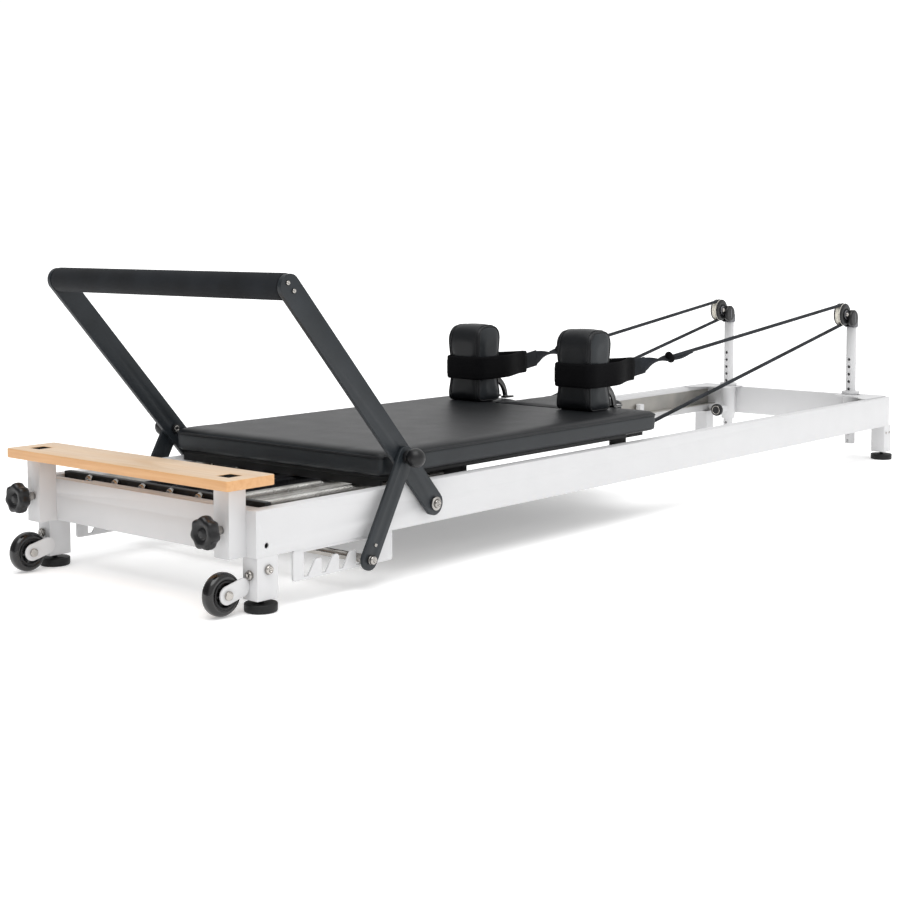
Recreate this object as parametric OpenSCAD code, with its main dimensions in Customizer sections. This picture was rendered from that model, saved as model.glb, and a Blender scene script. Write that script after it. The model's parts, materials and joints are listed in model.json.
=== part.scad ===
// Folding-footbar reformer: a steel bed frame on which a sprung carriage rolls.
// X runs from the foot end to the pulley end, Y across, Z up, floor at z = 0.

/* [Frame] */
// Outer length of the bed frame
frame_l = 2430; // [2200:10:2700]
// Outer width of the bed frame
frame_w = 620; // [560:5:700]
// Height of the rail tops above the floor
rail_top = 176; // [160:1:200]
// Height of a side rail
rail_h = 80; // [64:1:90]
// Thickness of a side rail, over its flanges
rail_t = 26; // [22:1:32]
// Wall of the rails, legs and posts
wall = 3; // [2:0.5:4]
// Depth of the foot crossbar's flanges
crossbar_d = 30; // [24:1:36]
// Thickness of the head crossbar
head_bar_t = 12; // [10:1:16]
// Height of the underside of the legs
leg_bottom = 22; // [18:1:30]
// Diameter of a levelling foot
foot_d = 58; // [45:1:64]
// Thickness of a levelling foot
foot_t = 15; // [10:1:20]

/* [Platform and transport wheels] */
// Width of the standing board, along the bed
board_d = 108; // [90:1:125]
// Thickness of the standing board
board_t = 18; // [15:1:22]
// Height of the board's top
board_top = 235; // [225:1:260]
// Side of a square board post
post = 38; // [32:1:42]
// Diameter of a clamping knob
knob_d = 60; // [48:1:64]
// Radius of a transport wheel
wheel_r = 37.5; // [32:0.5:42]
// Width of a transport wheel
wheel_w = 24; // [18:1:28]
// How far the transport wheel's axle stands in front of the frame
wheel_out = 47; // [44:1:56]

/* [Footbar] */
// Distance of the footbar's pivot from the foot end
pivot_x = 436; // [420:1:460]
// Height of the footbar's pivot
pivot_z = 135; // [125:1:145]
// Length of an arm, pivot to bar
arm_l = 556; // [530:1:600]
// Width of an arm
arm_w = 45; // [36:1:50]
// Thickness of an arm
arm_t = 9; // [7:0.5:9]
// Angle of the arm above the bed, from the foot end
arm_angle = 48.4; // [44:0.1:52]
// Distance of the strut's joint along the arm
strut_at = 130.4; // [120:0.1:140]
// Height of the cross rod in its notches
rod_z = 58; // [54:1:64]
// Diameter of the cross rod
rod_d = 16; // [12:1:18]
// Pitch of the footbar's notches
notch_pitch = 43.5; // [40:0.5:46]
// Diameter of the foam grip
grip_d = 47; // [40:1:52]

/* [Carriage] */
// Gap from the foot end to the pad
pad_x = 323; // [300:1:360]
// Length of the carriage pad
pad_l = 928; // [880:1:980]
// Width of the carriage pad
pad_w = 594; // [540:1:600]
// Thickness of the carriage pad
pad_t = 46; // [38:1:46]
// Height of the carriage pad's top
pad_top = 238; // [234:1:250]
// Width of the headrest
headrest_w = 204; // [180:1:210]
// How far the headrest stands past the pad
headrest_out = 150; // [120:1:170]
// How far the headrest reaches into the pad
headrest_in = 101; // [80:1:120]
// Radius of a carriage wheel
roller_r = 22; // [18:0.5:24]
// Width, depth and height of a shoulder pad
shoulder_size = [84, 104, 188]; // [50:1:200]
// Distance between the shoulder pads' centres
shoulder_pitch = 322; // [320:1:350]
// Distance from the foot end to the shoulder pads
shoulder_x = 1100; // [1080:1:1130]
// Diameter of a carriage spring
spring_d = 20; // [14:1:22]
// Number of carriage springs
springs = 5; // [3:1:6]
// Pitch of the carriage springs
spring_pitch = 80; // [60:1:84]

/* [Risers and ropes] */
// Diameter of a riser tube
riser_d = 28; // [24:1:30]
// Distance between the riser tubes
riser_pitch = 400; // [380:1:430]
// Height of the riser tube's top
riser_top = 371; // [350:1:400]
// Pitch of the holes in a riser
hole_pitch = 21.2; // [18:0.1:24]
// Radius of the rope's path round a sheave
sheave_path_r = 27.5; // [24:0.5:30]
// Diameter of the rope
rope_d = 8.5; // [6:0.5:10]
// Height of a strap cuff
cuff_h = 54; // [40:1:58]

/* [Hidden] */
$fn = 48;
eps = 0.01;
gap = 0.3;          // between pieces of different bodies that pass each other
running = 0.05;     // radial clearance of a turning fit
RIGHT = -1;
LEFT = 1;
half_w = frame_w / 2;
rail_bottom = rail_top - rail_h;
rail_in = half_w - rail_t;
steel = "whitesmoke";
leg_size = [48, 36];
head_leg = 40;
foot_leg_x = 2;
head_leg_x = frame_l - 2 - head_leg;
// The model's origin is under the middle of the whole machine.
x_mid = (head_leg_x + (head_leg + foot_d) / 2 - wheel_out - wheel_r) / 2;
foot_y = half_w - leg_size[1] / 2;
board_x = -65;
post_y = 266;
knob_z = rail_top - 32;
knob_t = 23;
knob_gap = 23;
stud_r = 5;
axle_r = 5;
wheel_y = 274.5;
wheel_z = wheel_r + 1.5;
fork_t = 4;
fork_end_r = 16;
hub_r = wheel_r - 13;
spacer_t = 8;
arm_y = half_w + spacer_t + gap;
strut_t = 7;
strut_y = arm_y + arm_t + gap;
bar_x = pivot_x - arm_l * cos(arm_angle);
bar_z = pivot_z + arm_l * sin(arm_angle);
joint_x = pivot_x - strut_at * cos(arm_angle);
joint_z = pivot_z + strut_at * sin(arm_angle);
rod_x = 252;
rod_dip = 2.7;      // how far the cross rod dips below its rest height in mid-fold
bar_r = 16;
plate_t = 5;
plate_top = rail_bottom;
plate_bottom = rod_z - rod_d / 2 - 8.5;
notches = 4;
track_z = 122;
track_t = 3;
ledge_w = 28;
pad_bottom = pad_top - pad_t;
base_t = 12;
base_bottom = pad_bottom - base_t;
roller_w = 16;
roller_y = rail_in - track_t - 3 - roller_w / 2;
roller_z = track_z + roller_r;
roller_x = [pad_x + 107, pad_x + pad_l - 111];
travel = 850;
spring_z = 160;
spring_bar_x = 45;
spring_bar_t = 15;
spring_x0 = spring_bar_x + spring_bar_t + 15;
anchor_x = 600;
hinge_x = pad_x + pad_l - headrest_in;
hinge_r = 3;
hinge_z = pad_top - hinge_r;
hinge_gap = 2;
riser_x = frame_l - head_bar_t - 21;
riser_y = riser_pitch / 2;
riser_bottom = 38;
collar_r = 20;
collar_z = [81, 188];
pin_z = 110;
pin_r = 4;
pin_push = 6;       // travel of a pull pin from drawn to home
sheave_x = riser_x - 60;
sheave_z = riser_top + 39;
sheave_r = sheave_path_r + 3.5;
sheave_w = 14;
groove_gap = 0.8;
cheek_t = 3;
cheek_in = sheave_w / 2 + 1;
swivel_r = 6;
cuff_t = 8;
cuff_z = 293;
cuff_tail_x = 1350;
shoulder_y = shoulder_pitch / 2;
bracket_t = 5;

module at_x() { translate([-x_mid, 0, 0]) children(); }
// A cylinder along X, Y or Z from its first face
module rod_along_x(r, l) { rotate([0, 90, 0]) cylinder(r = r, h = l); }
module rod_along_y(r, l) { rotate([-90, 0, 0]) cylinder(r = r, h = l); }
module mid_y(r, l) { translate([0, -l / 2, 0]) rod_along_y(r, l); }
module both_sides() { for (s = [RIGHT, LEFT]) scale_y(s) children(); }
module scale_y(s) { if (s < 0) mirror([0, 1, 0]) children(); else children(); }
// Upright plate: an outline in X and Z, with thickness along +Y
module plate_xz(t) { rotate([90, 0, 0]) translate([0, 0, -t]) linear_extrude(t) children(); }
module rounded(w, h, r) {
    translate([r, 0]) square([w - 2 * r, h]);
    translate([0, r]) square([w, h - 2 * r]);
    for (x = [r, w - r], y = [r, h - r]) translate([x, y]) circle(r);
}
// A bar with round ends between two points in the X-Z plane
module link_2d(a, b, w) {
    d = b - a;
    translate(a) circle(w / 2);
    translate(b) circle(w / 2);
    translate(a) rotate(atan2(d[1], d[0])) translate([0, -w / 2]) square([norm(d), w]);
}
module hex_head(d, t) { cylinder(d = d, h = t, $fn = 6); }

// ---- frame ----
module side_rail(s) {
    color(steel) at_x() scale_y(s) difference() {
        translate([0, rail_in, rail_bottom]) cube([frame_l, rail_t, rail_h]);
        translate([wall, rail_in + wall, rail_bottom + wall])
            cube([frame_l - 2 * wall, rail_t - 2 * wall, rail_h - 2 * wall]);
        translate([pivot_x, half_w - wall - 1, pivot_z]) rod_along_y(6, wall + 2);
        translate([24, half_w - wall - 1, rail_bottom + 19]) rod_along_y(stud_r, wall + 2);
        difference() {
            translate([frame_l - 18, half_w - 18, rail_bottom - 1]) cube([20, 20, rail_h + 2]);
            translate([frame_l - 18, half_w - 18, rail_bottom - 2]) cylinder(r = 18, h = rail_h + 4);
        }
    }
}
module side_rail_right() { side_rail(RIGHT); }
module side_rail_left() { side_rail(LEFT); }

module foot_crossbar() {
    stud_hole = stud_r + running;
    color(steel) at_x() difference() {
        translate([0, -rail_in, rail_bottom]) cube([crossbar_d, 2 * rail_in, rail_h]);
        translate([wall, -rail_in - 1, rail_bottom + wall])
            cube([crossbar_d, 2 * rail_in + 2, rail_h - 2 * wall]);
        // The top flange is cut back behind the left post.
        translate([crossbar_d - 12, 170, rail_top - wall - 1]) cube([13, rail_in - 170 + 1, wall + 2]);
        for (s = [RIGHT, LEFT]) translate([-1, s * post_y, knob_z]) rod_along_x(stud_hole, wall + 2);
    }
}

module head_crossbar() {
    color(steel) at_x() translate([frame_l - head_bar_t, -rail_in, rail_bottom])
        cube([head_bar_t, 2 * rail_in, rail_h]);
}

module head_gussets() {
    reach = rail_in + 6 - riser_y + 36;
    color(steel) at_x() both_sides() translate([0, 0, rail_top]) linear_extrude(wall) difference() {
        translate([frame_l - head_bar_t + 8, rail_in + 10]) polygon([[0, 0], [0, -reach], [-66, -reach],
            [-78, -reach + 12], [-78, -60], [-128, -10], [-128, 0]]);
        translate([riser_x, riser_y]) circle(collar_r + 5 + gap);
    }
}

module running_tracks() {
    track_l = frame_l - head_bar_t - crossbar_d - 40;
    color("silver") at_x() both_sides() translate([crossbar_d + 36, rail_in - track_t, 0]) {
        translate([0, 0, track_z - track_t]) cube([track_l, track_t, rail_top - 10 - track_z]);
        translate([0, track_t - ledge_w, track_z - track_t]) cube([track_l, ledge_w - track_t, track_t]);
    }
}

module frame_legs() {
    color(steel) at_x() both_sides() {
        difference() {
            translate([foot_leg_x, half_w - leg_size[1], leg_bottom])
                cube([leg_size[0], leg_size[1], rail_bottom - leg_bottom]);
            translate([foot_leg_x + wall, half_w - leg_size[1] + wall, leg_bottom + wall])
                cube([leg_size[0] - 2 * wall, leg_size[1] - 2 * wall, rail_bottom - leg_bottom]);
            translate([foot_leg_x + leg_size[0] / 2, foot_y, leg_bottom - 1]) cylinder(r = stud_r, h = wall + 2);
        }
        difference() {
            translate([head_leg_x, half_w - head_leg, leg_bottom])
                cube([head_leg, head_leg, rail_bottom - leg_bottom]);
            translate([head_leg_x + wall, half_w - head_leg + wall, leg_bottom + wall])
                cube([head_leg - 2 * wall, head_leg - 2 * wall, rail_bottom - leg_bottom]);
            translate([head_leg_x + head_leg / 2, foot_y, leg_bottom - 1]) cylinder(r = stud_r, h = wall + 2);
        }
    }
}

module levelling_feet() {
    rim = 2;
    color("black") at_x() both_sides()
        for (x = [foot_leg_x + leg_size[0] / 2, head_leg_x + head_leg / 2]) translate([x, foot_y, 0]) {
            cylinder(r1 = foot_d / 2 - rim, r2 = foot_d / 2, h = rim);
            translate([0, 0, rim]) cylinder(r = foot_d / 2, h = foot_t - rim);
            translate([0, 0, foot_t - eps]) cylinder(r = stud_r, h = leg_bottom - foot_t + 14);
        }
}

module spring_bar() {
    color("black") at_x() translate([spring_bar_x, -rail_in, spring_z - 2])
        cube([spring_bar_t, 2 * rail_in, 24]);
}

function spring_y(i) = (i - 2.5) * spring_pitch;

module spring_hooks() {
    color("silver") at_x() for (i = [0:5]) translate([0, spring_y(i), spring_z + 14]) {
        translate([spring_bar_x - 6, 0, 0]) rotate([0, 90, 0]) hex_head(13, 6);
        translate([spring_bar_x + spring_bar_t, 0, 0]) rod_along_x(4, 10);
        translate([spring_bar_x + spring_bar_t + 6, 0, -12]) cylinder(r = 3, h = 12);
    }
}

// Each plate has a window along which the cross rod moves, clear of it from the raised bar to the flat one.
module notch_plates() {
    clear_r = rod_d / 2 + 0.6;
    first = rod_x - (notches - 1) * notch_pitch;
    floor_z = rod_z - rod_dip - clear_r;
    color(steel) at_x() both_sides() translate([0, half_w - plate_t - 2, 0]) plate_xz(plate_t)
        difference() {
            translate([first - 34, plate_bottom]) rounded(rod_x + 121 - first, plate_top - plate_bottom, 5);
            translate([first - clear_r, floor_z]) square([rod_x + 60 + clear_r - first, plate_top - 6 - floor_z]);
        }
}

module pivot_bolts() {
    color("silver") at_x() both_sides() translate([pivot_x, 0, pivot_z]) {
        translate([0, half_w, 0]) difference() { rod_along_y(16, spacer_t); translate([0, -1, 0]) rod_along_y(6, 20); }
        translate([0, half_w - wall - 6, 0]) rod_along_y(6, wall + 6 + spacer_t + arm_t + 2 * gap);
        translate([0, arm_y + arm_t + gap, 0]) rod_along_y(13, 5);
    }
}

module wheel_forks() {
    color(steel) at_x() both_sides()
        for (y = [wheel_y - wheel_w / 2 - 1 - fork_t, wheel_y + wheel_w / 2 + 1]) translate([0, y, 0])
            plate_xz(fork_t) difference() {
                link_2d([-wheel_out, wheel_z], [foot_leg_x - fork_end_r, wheel_z + 8], 2 * fork_end_r);
                translate([-wheel_out, wheel_z]) circle(axle_r);
                translate([foot_leg_x, 0]) square(200);
            }
}

module wheel_axles() {
    axle_l = wheel_w + 2 + 2 * fork_t;
    color("silver") at_x() both_sides() translate([-wheel_out, wheel_y, wheel_z]) {
        mid_y(axle_r, axle_l);
        for (s = [-1, 1]) translate([0, s * (axle_l / 2 + 2.5), 0]) mid_y(8, 5);
    }
}

module riser_collars() {
    barrel = 30;
    color(steel) at_x() both_sides() translate([riser_x, riser_y, 0]) difference() {
        union() {
            translate([0, 0, collar_z[0]]) cylinder(r = collar_r, h = collar_z[1] - collar_z[0]);
            translate([0, 0, collar_z[1] - 6]) cylinder(r = collar_r + 5, h = 6);
            translate([0, -collar_r + 4, rail_bottom]) cube([21, 2 * collar_r - 8, rail_h - 2]);
            translate([-collar_r - barrel, 0, pin_z]) rod_along_x(10, barrel + 8);
        }
        translate([0, 0, collar_z[0] - 1]) cylinder(r = riser_d / 2 + gap, h = collar_z[1]);
        translate([-collar_r - barrel - 1, 0, pin_z]) rod_along_x(pin_r + gap, barrel + 20);
        translate([collar_r + 0.5, -collar_r - 6, 0]) cube([20, 2 * collar_r + 12, collar_z[1] + 1]);
    }
}

module carriage_stops() {
    stop = [20, 16, 26];
    color("dimgray") at_x() both_sides()
        for (x = [roller_x[0] - roller_r - stop[0] - 1, roller_x[1] + roller_r + travel + 1])
            translate([x, roller_y - stop[1] / 2, track_z]) cube(stop);
}

module platform_board() {
    bore = post - 2 * wall;
    color("burlywood") at_x() difference() {
        translate([board_x, -half_w - 3, board_top - board_t]) linear_extrude(board_t)
            rounded(board_d, frame_w + 6, 6);
        for (s = [RIGHT, LEFT]) translate([-post / 2 - bore / 2, s * post_y - bore / 2, board_top - board_t - 1])
            cube([bore, bore, board_t + 2]);
    }
}

module platform_posts() {
    color(steel) at_x() both_sides() translate([-post, post_y - post / 2, 0]) difference() {
        translate([0, 0, rail_bottom]) cube([post, post, board_top - board_t - rail_bottom]);
        translate([wall, wall, rail_bottom + wall])
            cube([post - 2 * wall, post - 2 * wall, board_top - rail_bottom]);
        translate([-1, post / 2, knob_z]) rod_along_x(stud_r + running, post + 2);
    }
}

module frame_bolts() {
    color("silver") at_x() both_sides() {
        translate([foot_leg_x - 4, foot_y + 2, rail_bottom - 30]) rotate([0, 90, 0]) hex_head(16, 4);
        translate([foot_leg_x + 24, half_w, rail_bottom - 22]) rotate([-90, 0, 0]) hex_head(16, 4);
        for (x = [10, 30]) translate([head_leg_x + x, half_w, rail_bottom - 20]) rod_along_y(3, 2);
    }
}

// ---- wheels and knobs ----
module transport_tyre(s) {
    color("black") at_x() translate([-wheel_out, s * wheel_y, wheel_z]) difference() {
        mid_y(wheel_r, wheel_w);
        mid_y(hub_r, wheel_w + 2);
    }
}
module transport_hub(s) {
    web = 6;
    color("dimgray") at_x() translate([-wheel_out, s * wheel_y, wheel_z]) difference() {
        mid_y(hub_r, wheel_w);
        mid_y(axle_r + running, wheel_w + 2);
        for (f = [-1, 1]) translate([0, f * (wheel_w / 2), 0]) difference() {
            mid_y(hub_r - 3, wheel_w - web);
            mid_y(11, wheel_w);
        }
        for (i = [0:5]) rotate([0, i * 60, 0]) translate([16, 0, 0]) mid_y(3.2, wheel_w + 2);
    }
}
module transport_tyre_right() { transport_tyre(RIGHT); }
module transport_tyre_left() { transport_tyre(LEFT); }
module transport_hub_right() { transport_hub(RIGHT); }
module transport_hub_left() { transport_hub(LEFT); }

module platform_knob(s) {
    lobes = 7;
    color("black") at_x() translate([-post - knob_gap - knob_t, s * post_y, knob_z]) {
        rod_along_x(knob_d / 2 - 7, knob_t);
        for (i = [0:lobes - 1]) rotate([i * 360 / lobes, 0, 0]) translate([0, 0, knob_d / 2 - 8])
            rod_along_x(8, knob_t - 6);
        translate([knob_t, 0, 0]) rod_along_x(11, knob_gap - gap);
        translate([knob_t, 0, 0]) rod_along_x(stud_r, knob_gap + post + wall + 8);
    }
}
module platform_knob_right() { platform_knob(RIGHT); }
module platform_knob_left() { platform_knob(LEFT); }

// ---- footbar ----
module footbar_arm(s) {
    color("darkslategray") at_x() scale_y(s) translate([0, arm_y, 0]) plate_xz(arm_t) difference() {
        link_2d([pivot_x, pivot_z], [bar_x, bar_z], arm_w);
        translate([pivot_x, pivot_z]) circle(6 + running);
        translate([joint_x, joint_z]) circle(stud_r);
    }
}
module footbar_arm_right() { footbar_arm(RIGHT); }
module footbar_arm_left() { footbar_arm(LEFT); }
module footbar_tube() {
    color("dimgray") at_x() translate([bar_x, 0, bar_z]) difference() {
        mid_y(bar_r, 2 * arm_y);
        mid_y(bar_r - wall, 2 * arm_y + 2);
    }
}
module footbar_grip() {
    color("black") at_x() translate([bar_x, 0, bar_z]) difference() {
        mid_y(grip_d / 2, 2 * arm_y - 4);
        mid_y(bar_r, 2 * arm_y);
    }
}
module footbar_screws() {
    color("silver") at_x() both_sides() for (d = [-9, 9]) translate([bar_x + d * 0.7, arm_y + arm_t, bar_z + d * 0.7])
        rod_along_y(4, 1.5);
}
module strut(s) {
    color("darkslategray") at_x() scale_y(s) translate([0, strut_y, 0]) plate_xz(strut_t) difference() {
        link_2d([joint_x, joint_z], [rod_x, rod_z], 40);
        translate([joint_x, joint_z]) circle(stud_r + running);
        translate([rod_x, rod_z]) circle(rod_d / 2 - 3);
    }
}
module strut_right() { strut(RIGHT); }
module strut_left() { strut(LEFT); }
module strut_cross_rod() {
    end_r = rod_d / 2 - 3;
    color("silver") at_x() translate([rod_x, 0, rod_z]) {
        mid_y(rod_d / 2, 2 * strut_y);
        mid_y(end_r, 2 * (strut_y + strut_t) + 6);
        for (s = [-1, 1]) translate([0, s * (strut_y + strut_t + 3), 0]) mid_y(9, 6);
    }
}
module strut_knobs() {
    color("black") at_x() both_sides() translate([joint_x, 0, joint_z]) {
        translate([0, arm_y - 5, 0]) rod_along_y(stud_r, arm_t + strut_t + 12);
        translate([0, arm_y - 6, 0]) rod_along_y(10, 6 - gap);
        translate([0, strut_y + strut_t + gap, 0]) rod_along_y(12, 8);
        translate([0, strut_y + strut_t + 22, 0]) sphere(18);
    }
}

// ---- risers, pins and pulleys ----
module riser_tube(s) {
    color(steel) at_x() translate([riser_x, s * riser_y, 0]) difference() {
        union() {
            translate([0, 0, riser_bottom]) cylinder(r = riser_d / 2, h = riser_top - riser_bottom);
            translate([0, 0, riser_top]) cylinder(r = swivel_r, h = 32);
            translate([0, 0, riser_top + 26]) cylinder(r = 10, h = 6);
        }
        translate([0, 0, riser_bottom - 1]) cylinder(r = riser_d / 2 - wall, h = riser_top - riser_bottom - 5);
        for (i = [-3:8]) translate([-riser_d, 0, pin_z + i * hole_pitch]) rod_along_x(pin_r + gap, riser_d);
    }
}
module riser_tube_right() { riser_tube(RIGHT); }
module riser_tube_left() { riser_tube(LEFT); }
// The pin rests drawn, its nose just clear of the riser, and pushes home into the hole in front of it.
module riser_pin(s) {
    knob_t = 14;
    reach = collar_r + 30 + pin_push;
    color("black") at_x() translate([riser_x - reach, s * riser_y, pin_z]) {
        translate([-knob_t - 2, 0, 0]) rod_along_x(18, knob_t);
        translate([-2 - gap, 0, 0]) rod_along_x(12, 2);
        translate([-2, 0, 0]) rod_along_x(pin_r, reach + 1 - riser_d / 2);
    }
}
module riser_pin_right() { riser_pin(RIGHT); }
module riser_pin_left() { riser_pin(LEFT); }
module pulley_block(s) {
    post_r = swivel_r + 6;
    color("dimgray") at_x() translate([0, s * riser_y, 0]) {
        for (y = [-cheek_in - cheek_t, cheek_in]) translate([0, y, 0]) plate_xz(cheek_t) {
            translate([sheave_x, sheave_z]) circle(sheave_r + 1.5);
            translate([sheave_x, riser_top + 2]) square([riser_x - sheave_x - post_r + 3, 20]);
        }
        difference() {
            translate([riser_x, 0, riser_top + gap]) cylinder(r = post_r, h = 24);
            translate([riser_x, 0, riser_top - 1]) cylinder(r = swivel_r + running, h = 40);
        }
        translate([sheave_x + sheave_r + 3, -cheek_in - eps, riser_top + 2])
            cube([riser_x - sheave_x - sheave_r - post_r, 2 * (cheek_in + eps), 20]);
        translate([sheave_x, 0, sheave_z]) mid_y(axle_r, 2 * (cheek_in + cheek_t) + 4);
        for (f = [-1, 1]) translate([sheave_x, f * (cheek_in + cheek_t + 3), sheave_z]) mid_y(17, 6);
    }
}
module pulley_block_right() { pulley_block(RIGHT); }
module pulley_block_left() { pulley_block(LEFT); }
module pulley_sheave(s) {
    color("ivory") at_x() translate([sheave_x, s * riser_y, sheave_z]) rotate([90, 0, 0]) difference() {
        cylinder(r = sheave_r, h = sheave_w, center = true);
        rotate_extrude() translate([sheave_path_r, 0]) union() {
            circle(rope_d / 2 + groove_gap);
            translate([0, -rope_d / 2 - groove_gap]) square([10, rope_d + 2 * groove_gap]);
        }
        cylinder(r = axle_r + running, h = sheave_w + 2, center = true);
    }
}
module pulley_sheave_right() { pulley_sheave(RIGHT); }
module pulley_sheave_left() { pulley_sheave(LEFT); }

// ---- carriage ----
module carriage_frame() {
    hanger_y = roller_y - roller_w / 2 - 2;
    color("black") at_x() {
        difference() {
            translate([pad_x + 20, -hanger_y, base_bottom]) cube([pad_l - 34, 2 * hanger_y, base_t]);
            translate([anchor_x + 40, -180, base_bottom - 1]) cube([380, 360, base_t + 2]);
            translate([hinge_x - 2, -headrest_w / 2 - 2, base_bottom + 2]) cube([300, headrest_w + 4, base_t]);
        }
        both_sides() for (x = roller_x) difference() {
            translate([x - 30, hanger_y - 5, roller_z - 14]) cube([60, 5, base_bottom - roller_z + 14]);
            translate([x, hanger_y - 6, roller_z]) rod_along_y(axle_r, 8);
        }
        translate([pad_x + 20, -hanger_y, base_bottom - 8]) cube([8, 2 * hanger_y, 8]);
        translate([anchor_x, -hanger_y, spring_z - 12]) cube([10, 2 * hanger_y, base_bottom - spring_z + 12]);
        both_sides() {
            translate([hinge_x + 10, 50, base_bottom - 8]) cube([headrest_out + headrest_in - 60, 24, 8]);
            translate([pad_x + pad_l - 26, riser_y - 24, base_bottom - 26]) cube([10, 30, 26]);
        }
    }
}
module carriage_pad() {
    color("black") at_x() difference() {
        translate([pad_x, -pad_w / 2, pad_bottom]) linear_extrude(pad_t) rounded(pad_l, pad_w, 24);
        translate([hinge_x - hinge_gap, -headrest_w / 2 - 1, pad_bottom - 1])
            cube([headrest_in + hinge_gap + 1, headrest_w + 2, pad_t + 2]);
        translate([hinge_x, 0, hinge_z]) mid_y(hinge_r + gap, headrest_w + 2);
    }
}
module carriage_axles() {
    color("silver") at_x() both_sides() for (x = roller_x)
        translate([x, roller_y - roller_w / 2 - 12, roller_z]) rod_along_y(axle_r, roller_w + 14);
}
module carriage_wheel(x, s) {
    color("whitesmoke") at_x() translate([x, s * roller_y, roller_z]) difference() {
        mid_y(roller_r, roller_w);
        mid_y(axle_r + running, roller_w + 2);
    }
}
module carriage_wheel_foot_right() { carriage_wheel(roller_x[0], RIGHT); }
module carriage_wheel_foot_left() { carriage_wheel(roller_x[0], LEFT); }
module carriage_wheel_head_right() { carriage_wheel(roller_x[1], RIGHT); }
module carriage_wheel_head_left() { carriage_wheel(roller_x[1], LEFT); }

module shoulder_brackets() {
    back_x = shoulder_x + shoulder_size[0];
    sweep_r = 60;
    color("black") at_x() both_sides() for (y = [-22, 17]) translate([0, shoulder_y + y, 0]) {
        plate_xz(bracket_t) {
            difference() {
                translate([back_x + 0.5, pad_top]) intersection() { circle(sweep_r); square(sweep_r); }
                translate([back_x + 0.5, pad_top - 1]) circle(sweep_r - 14);
            }
            translate([back_x + 0.5, pad_top + 30]) square([6, 90]);
        }
        translate([back_x + 44, -5, pad_top]) cube([34, 14, 5]);
    }
}
module shoulder_pad(s) {
    r = 24;
    color("black") at_x() translate([shoulder_x, s * shoulder_y - shoulder_size[1] / 2, pad_top + gap])
        rotate([90, 0, 90]) linear_extrude(shoulder_size[0]) rounded(shoulder_size[1], shoulder_size[2], r);
}
module shoulder_pad_right() { shoulder_pad(RIGHT); }
module shoulder_pad_left() { shoulder_pad(LEFT); }

// The cuff is a padded band round the shoulder pad that narrows to the rope's end.
module cuff_outline(grow) {
    y = shoulder_size[1] / 2 + 1 + grow;
    x0 = shoulder_x - 1 - grow;
    taper_x = shoulder_x + shoulder_size[0] + 6;
    polygon([[x0, y], [taper_x, y], [cuff_tail_x - 14 + grow, 4 + grow], [cuff_tail_x - 14 + grow, -4 - grow],
        [taper_x, -y], [x0, -y]]);
}
module strap_cuff(s) {
    color("black") at_x() translate([0, s * shoulder_y, cuff_z]) linear_extrude(cuff_h) difference() {
        cuff_outline(cuff_t);
        cuff_outline(0);
    }
}
module strap_cuff_right() { strap_cuff(RIGHT); }
module strap_cuff_left() { strap_cuff(LEFT); }

// ---- ropes: a tube swept along points ----
wrap_steps = 8;
rope_anchor = [pad_x + pad_l - 16 + rope_d / 2, riser_y - 9, base_bottom - 16];
rope_eye = [cuff_tail_x - 14 + cuff_t + 2 * gap, shoulder_y, cuff_z + cuff_h / 2];
low_turn = -76;
high_turn = -262;
function wrap_point(a) = [sheave_x + sheave_path_r * cos(a), riser_y, sheave_z + sheave_path_r * sin(a)];
rope_points = concat(
    [rope_anchor],
    [for (i = [0:wrap_steps]) wrap_point(low_turn + 2 + i * (360 + high_turn - low_turn - 4) / wrap_steps)],
    [rope_eye]);
function unit(v) = v / norm(v);
function tangent(p, i) = unit(p[min(i + 1, len(p) - 1)] - p[max(i - 1, 0)]);
function ring(c, t, r, sides) =
    let (side = unit(cross(t, [0, 1, 0])), up = cross(side, t))
    [for (k = [0:sides - 1]) c + r * (cos(k * 360 / sides) * side + sin(k * 360 / sides) * up)];
module tube_along(p, r, sides) {
    n = len(p);
    points = [for (i = [0:n - 1]) each ring(p[i], tangent(p, i), r, sides)];
    walls = [for (i = [0:n - 2], k = [0:sides - 1])
        [i * sides + k, i * sides + (k + 1) % sides, (i + 1) * sides + (k + 1) % sides, (i + 1) * sides + k]];
    first = [for (k = [sides - 1:-1:0]) k];
    last = [for (k = [0:sides - 1]) (n - 1) * sides + k];
    polyhedron(points, concat([first], walls, [last]));
}
module rope(s) {
    color("black") at_x() scale_y(s) tube_along(rope_points, rope_d / 2, 8);
}
module rope_right() { rope(RIGHT); }
module rope_left() { rope(LEFT); }

module tension_springs() {
    color("silver") at_x() for (i = [0:springs - 1])
        translate([spring_x0, spring_y(i), spring_z]) rod_along_x(spring_d / 2, anchor_x - spring_x0);
}

// ---- headrest ----
module headrest_pad() {
    length = headrest_in + headrest_out;
    color("black") at_x() difference() {
        translate([hinge_x + gap, -headrest_w / 2, pad_bottom + 1]) union() {
            cube([40, headrest_w, pad_t - 1]);
            linear_extrude(pad_t - 1) rounded(length, headrest_w, 20);
        }
        translate([hinge_x, 0, hinge_z]) mid_y(hinge_r + gap, headrest_w + 2);
    }
}
module headrest_board() {
    color("black") at_x() translate([hinge_x + 14, -headrest_w / 2 + 12, pad_bottom - 9])
        cube([headrest_in + headrest_out - 34, headrest_w - 24, 10]);
}
module headrest_hinge() {
    color("black") at_x() translate([hinge_x, 0, hinge_z]) mid_y(hinge_r, headrest_w - 4);
}

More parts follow.
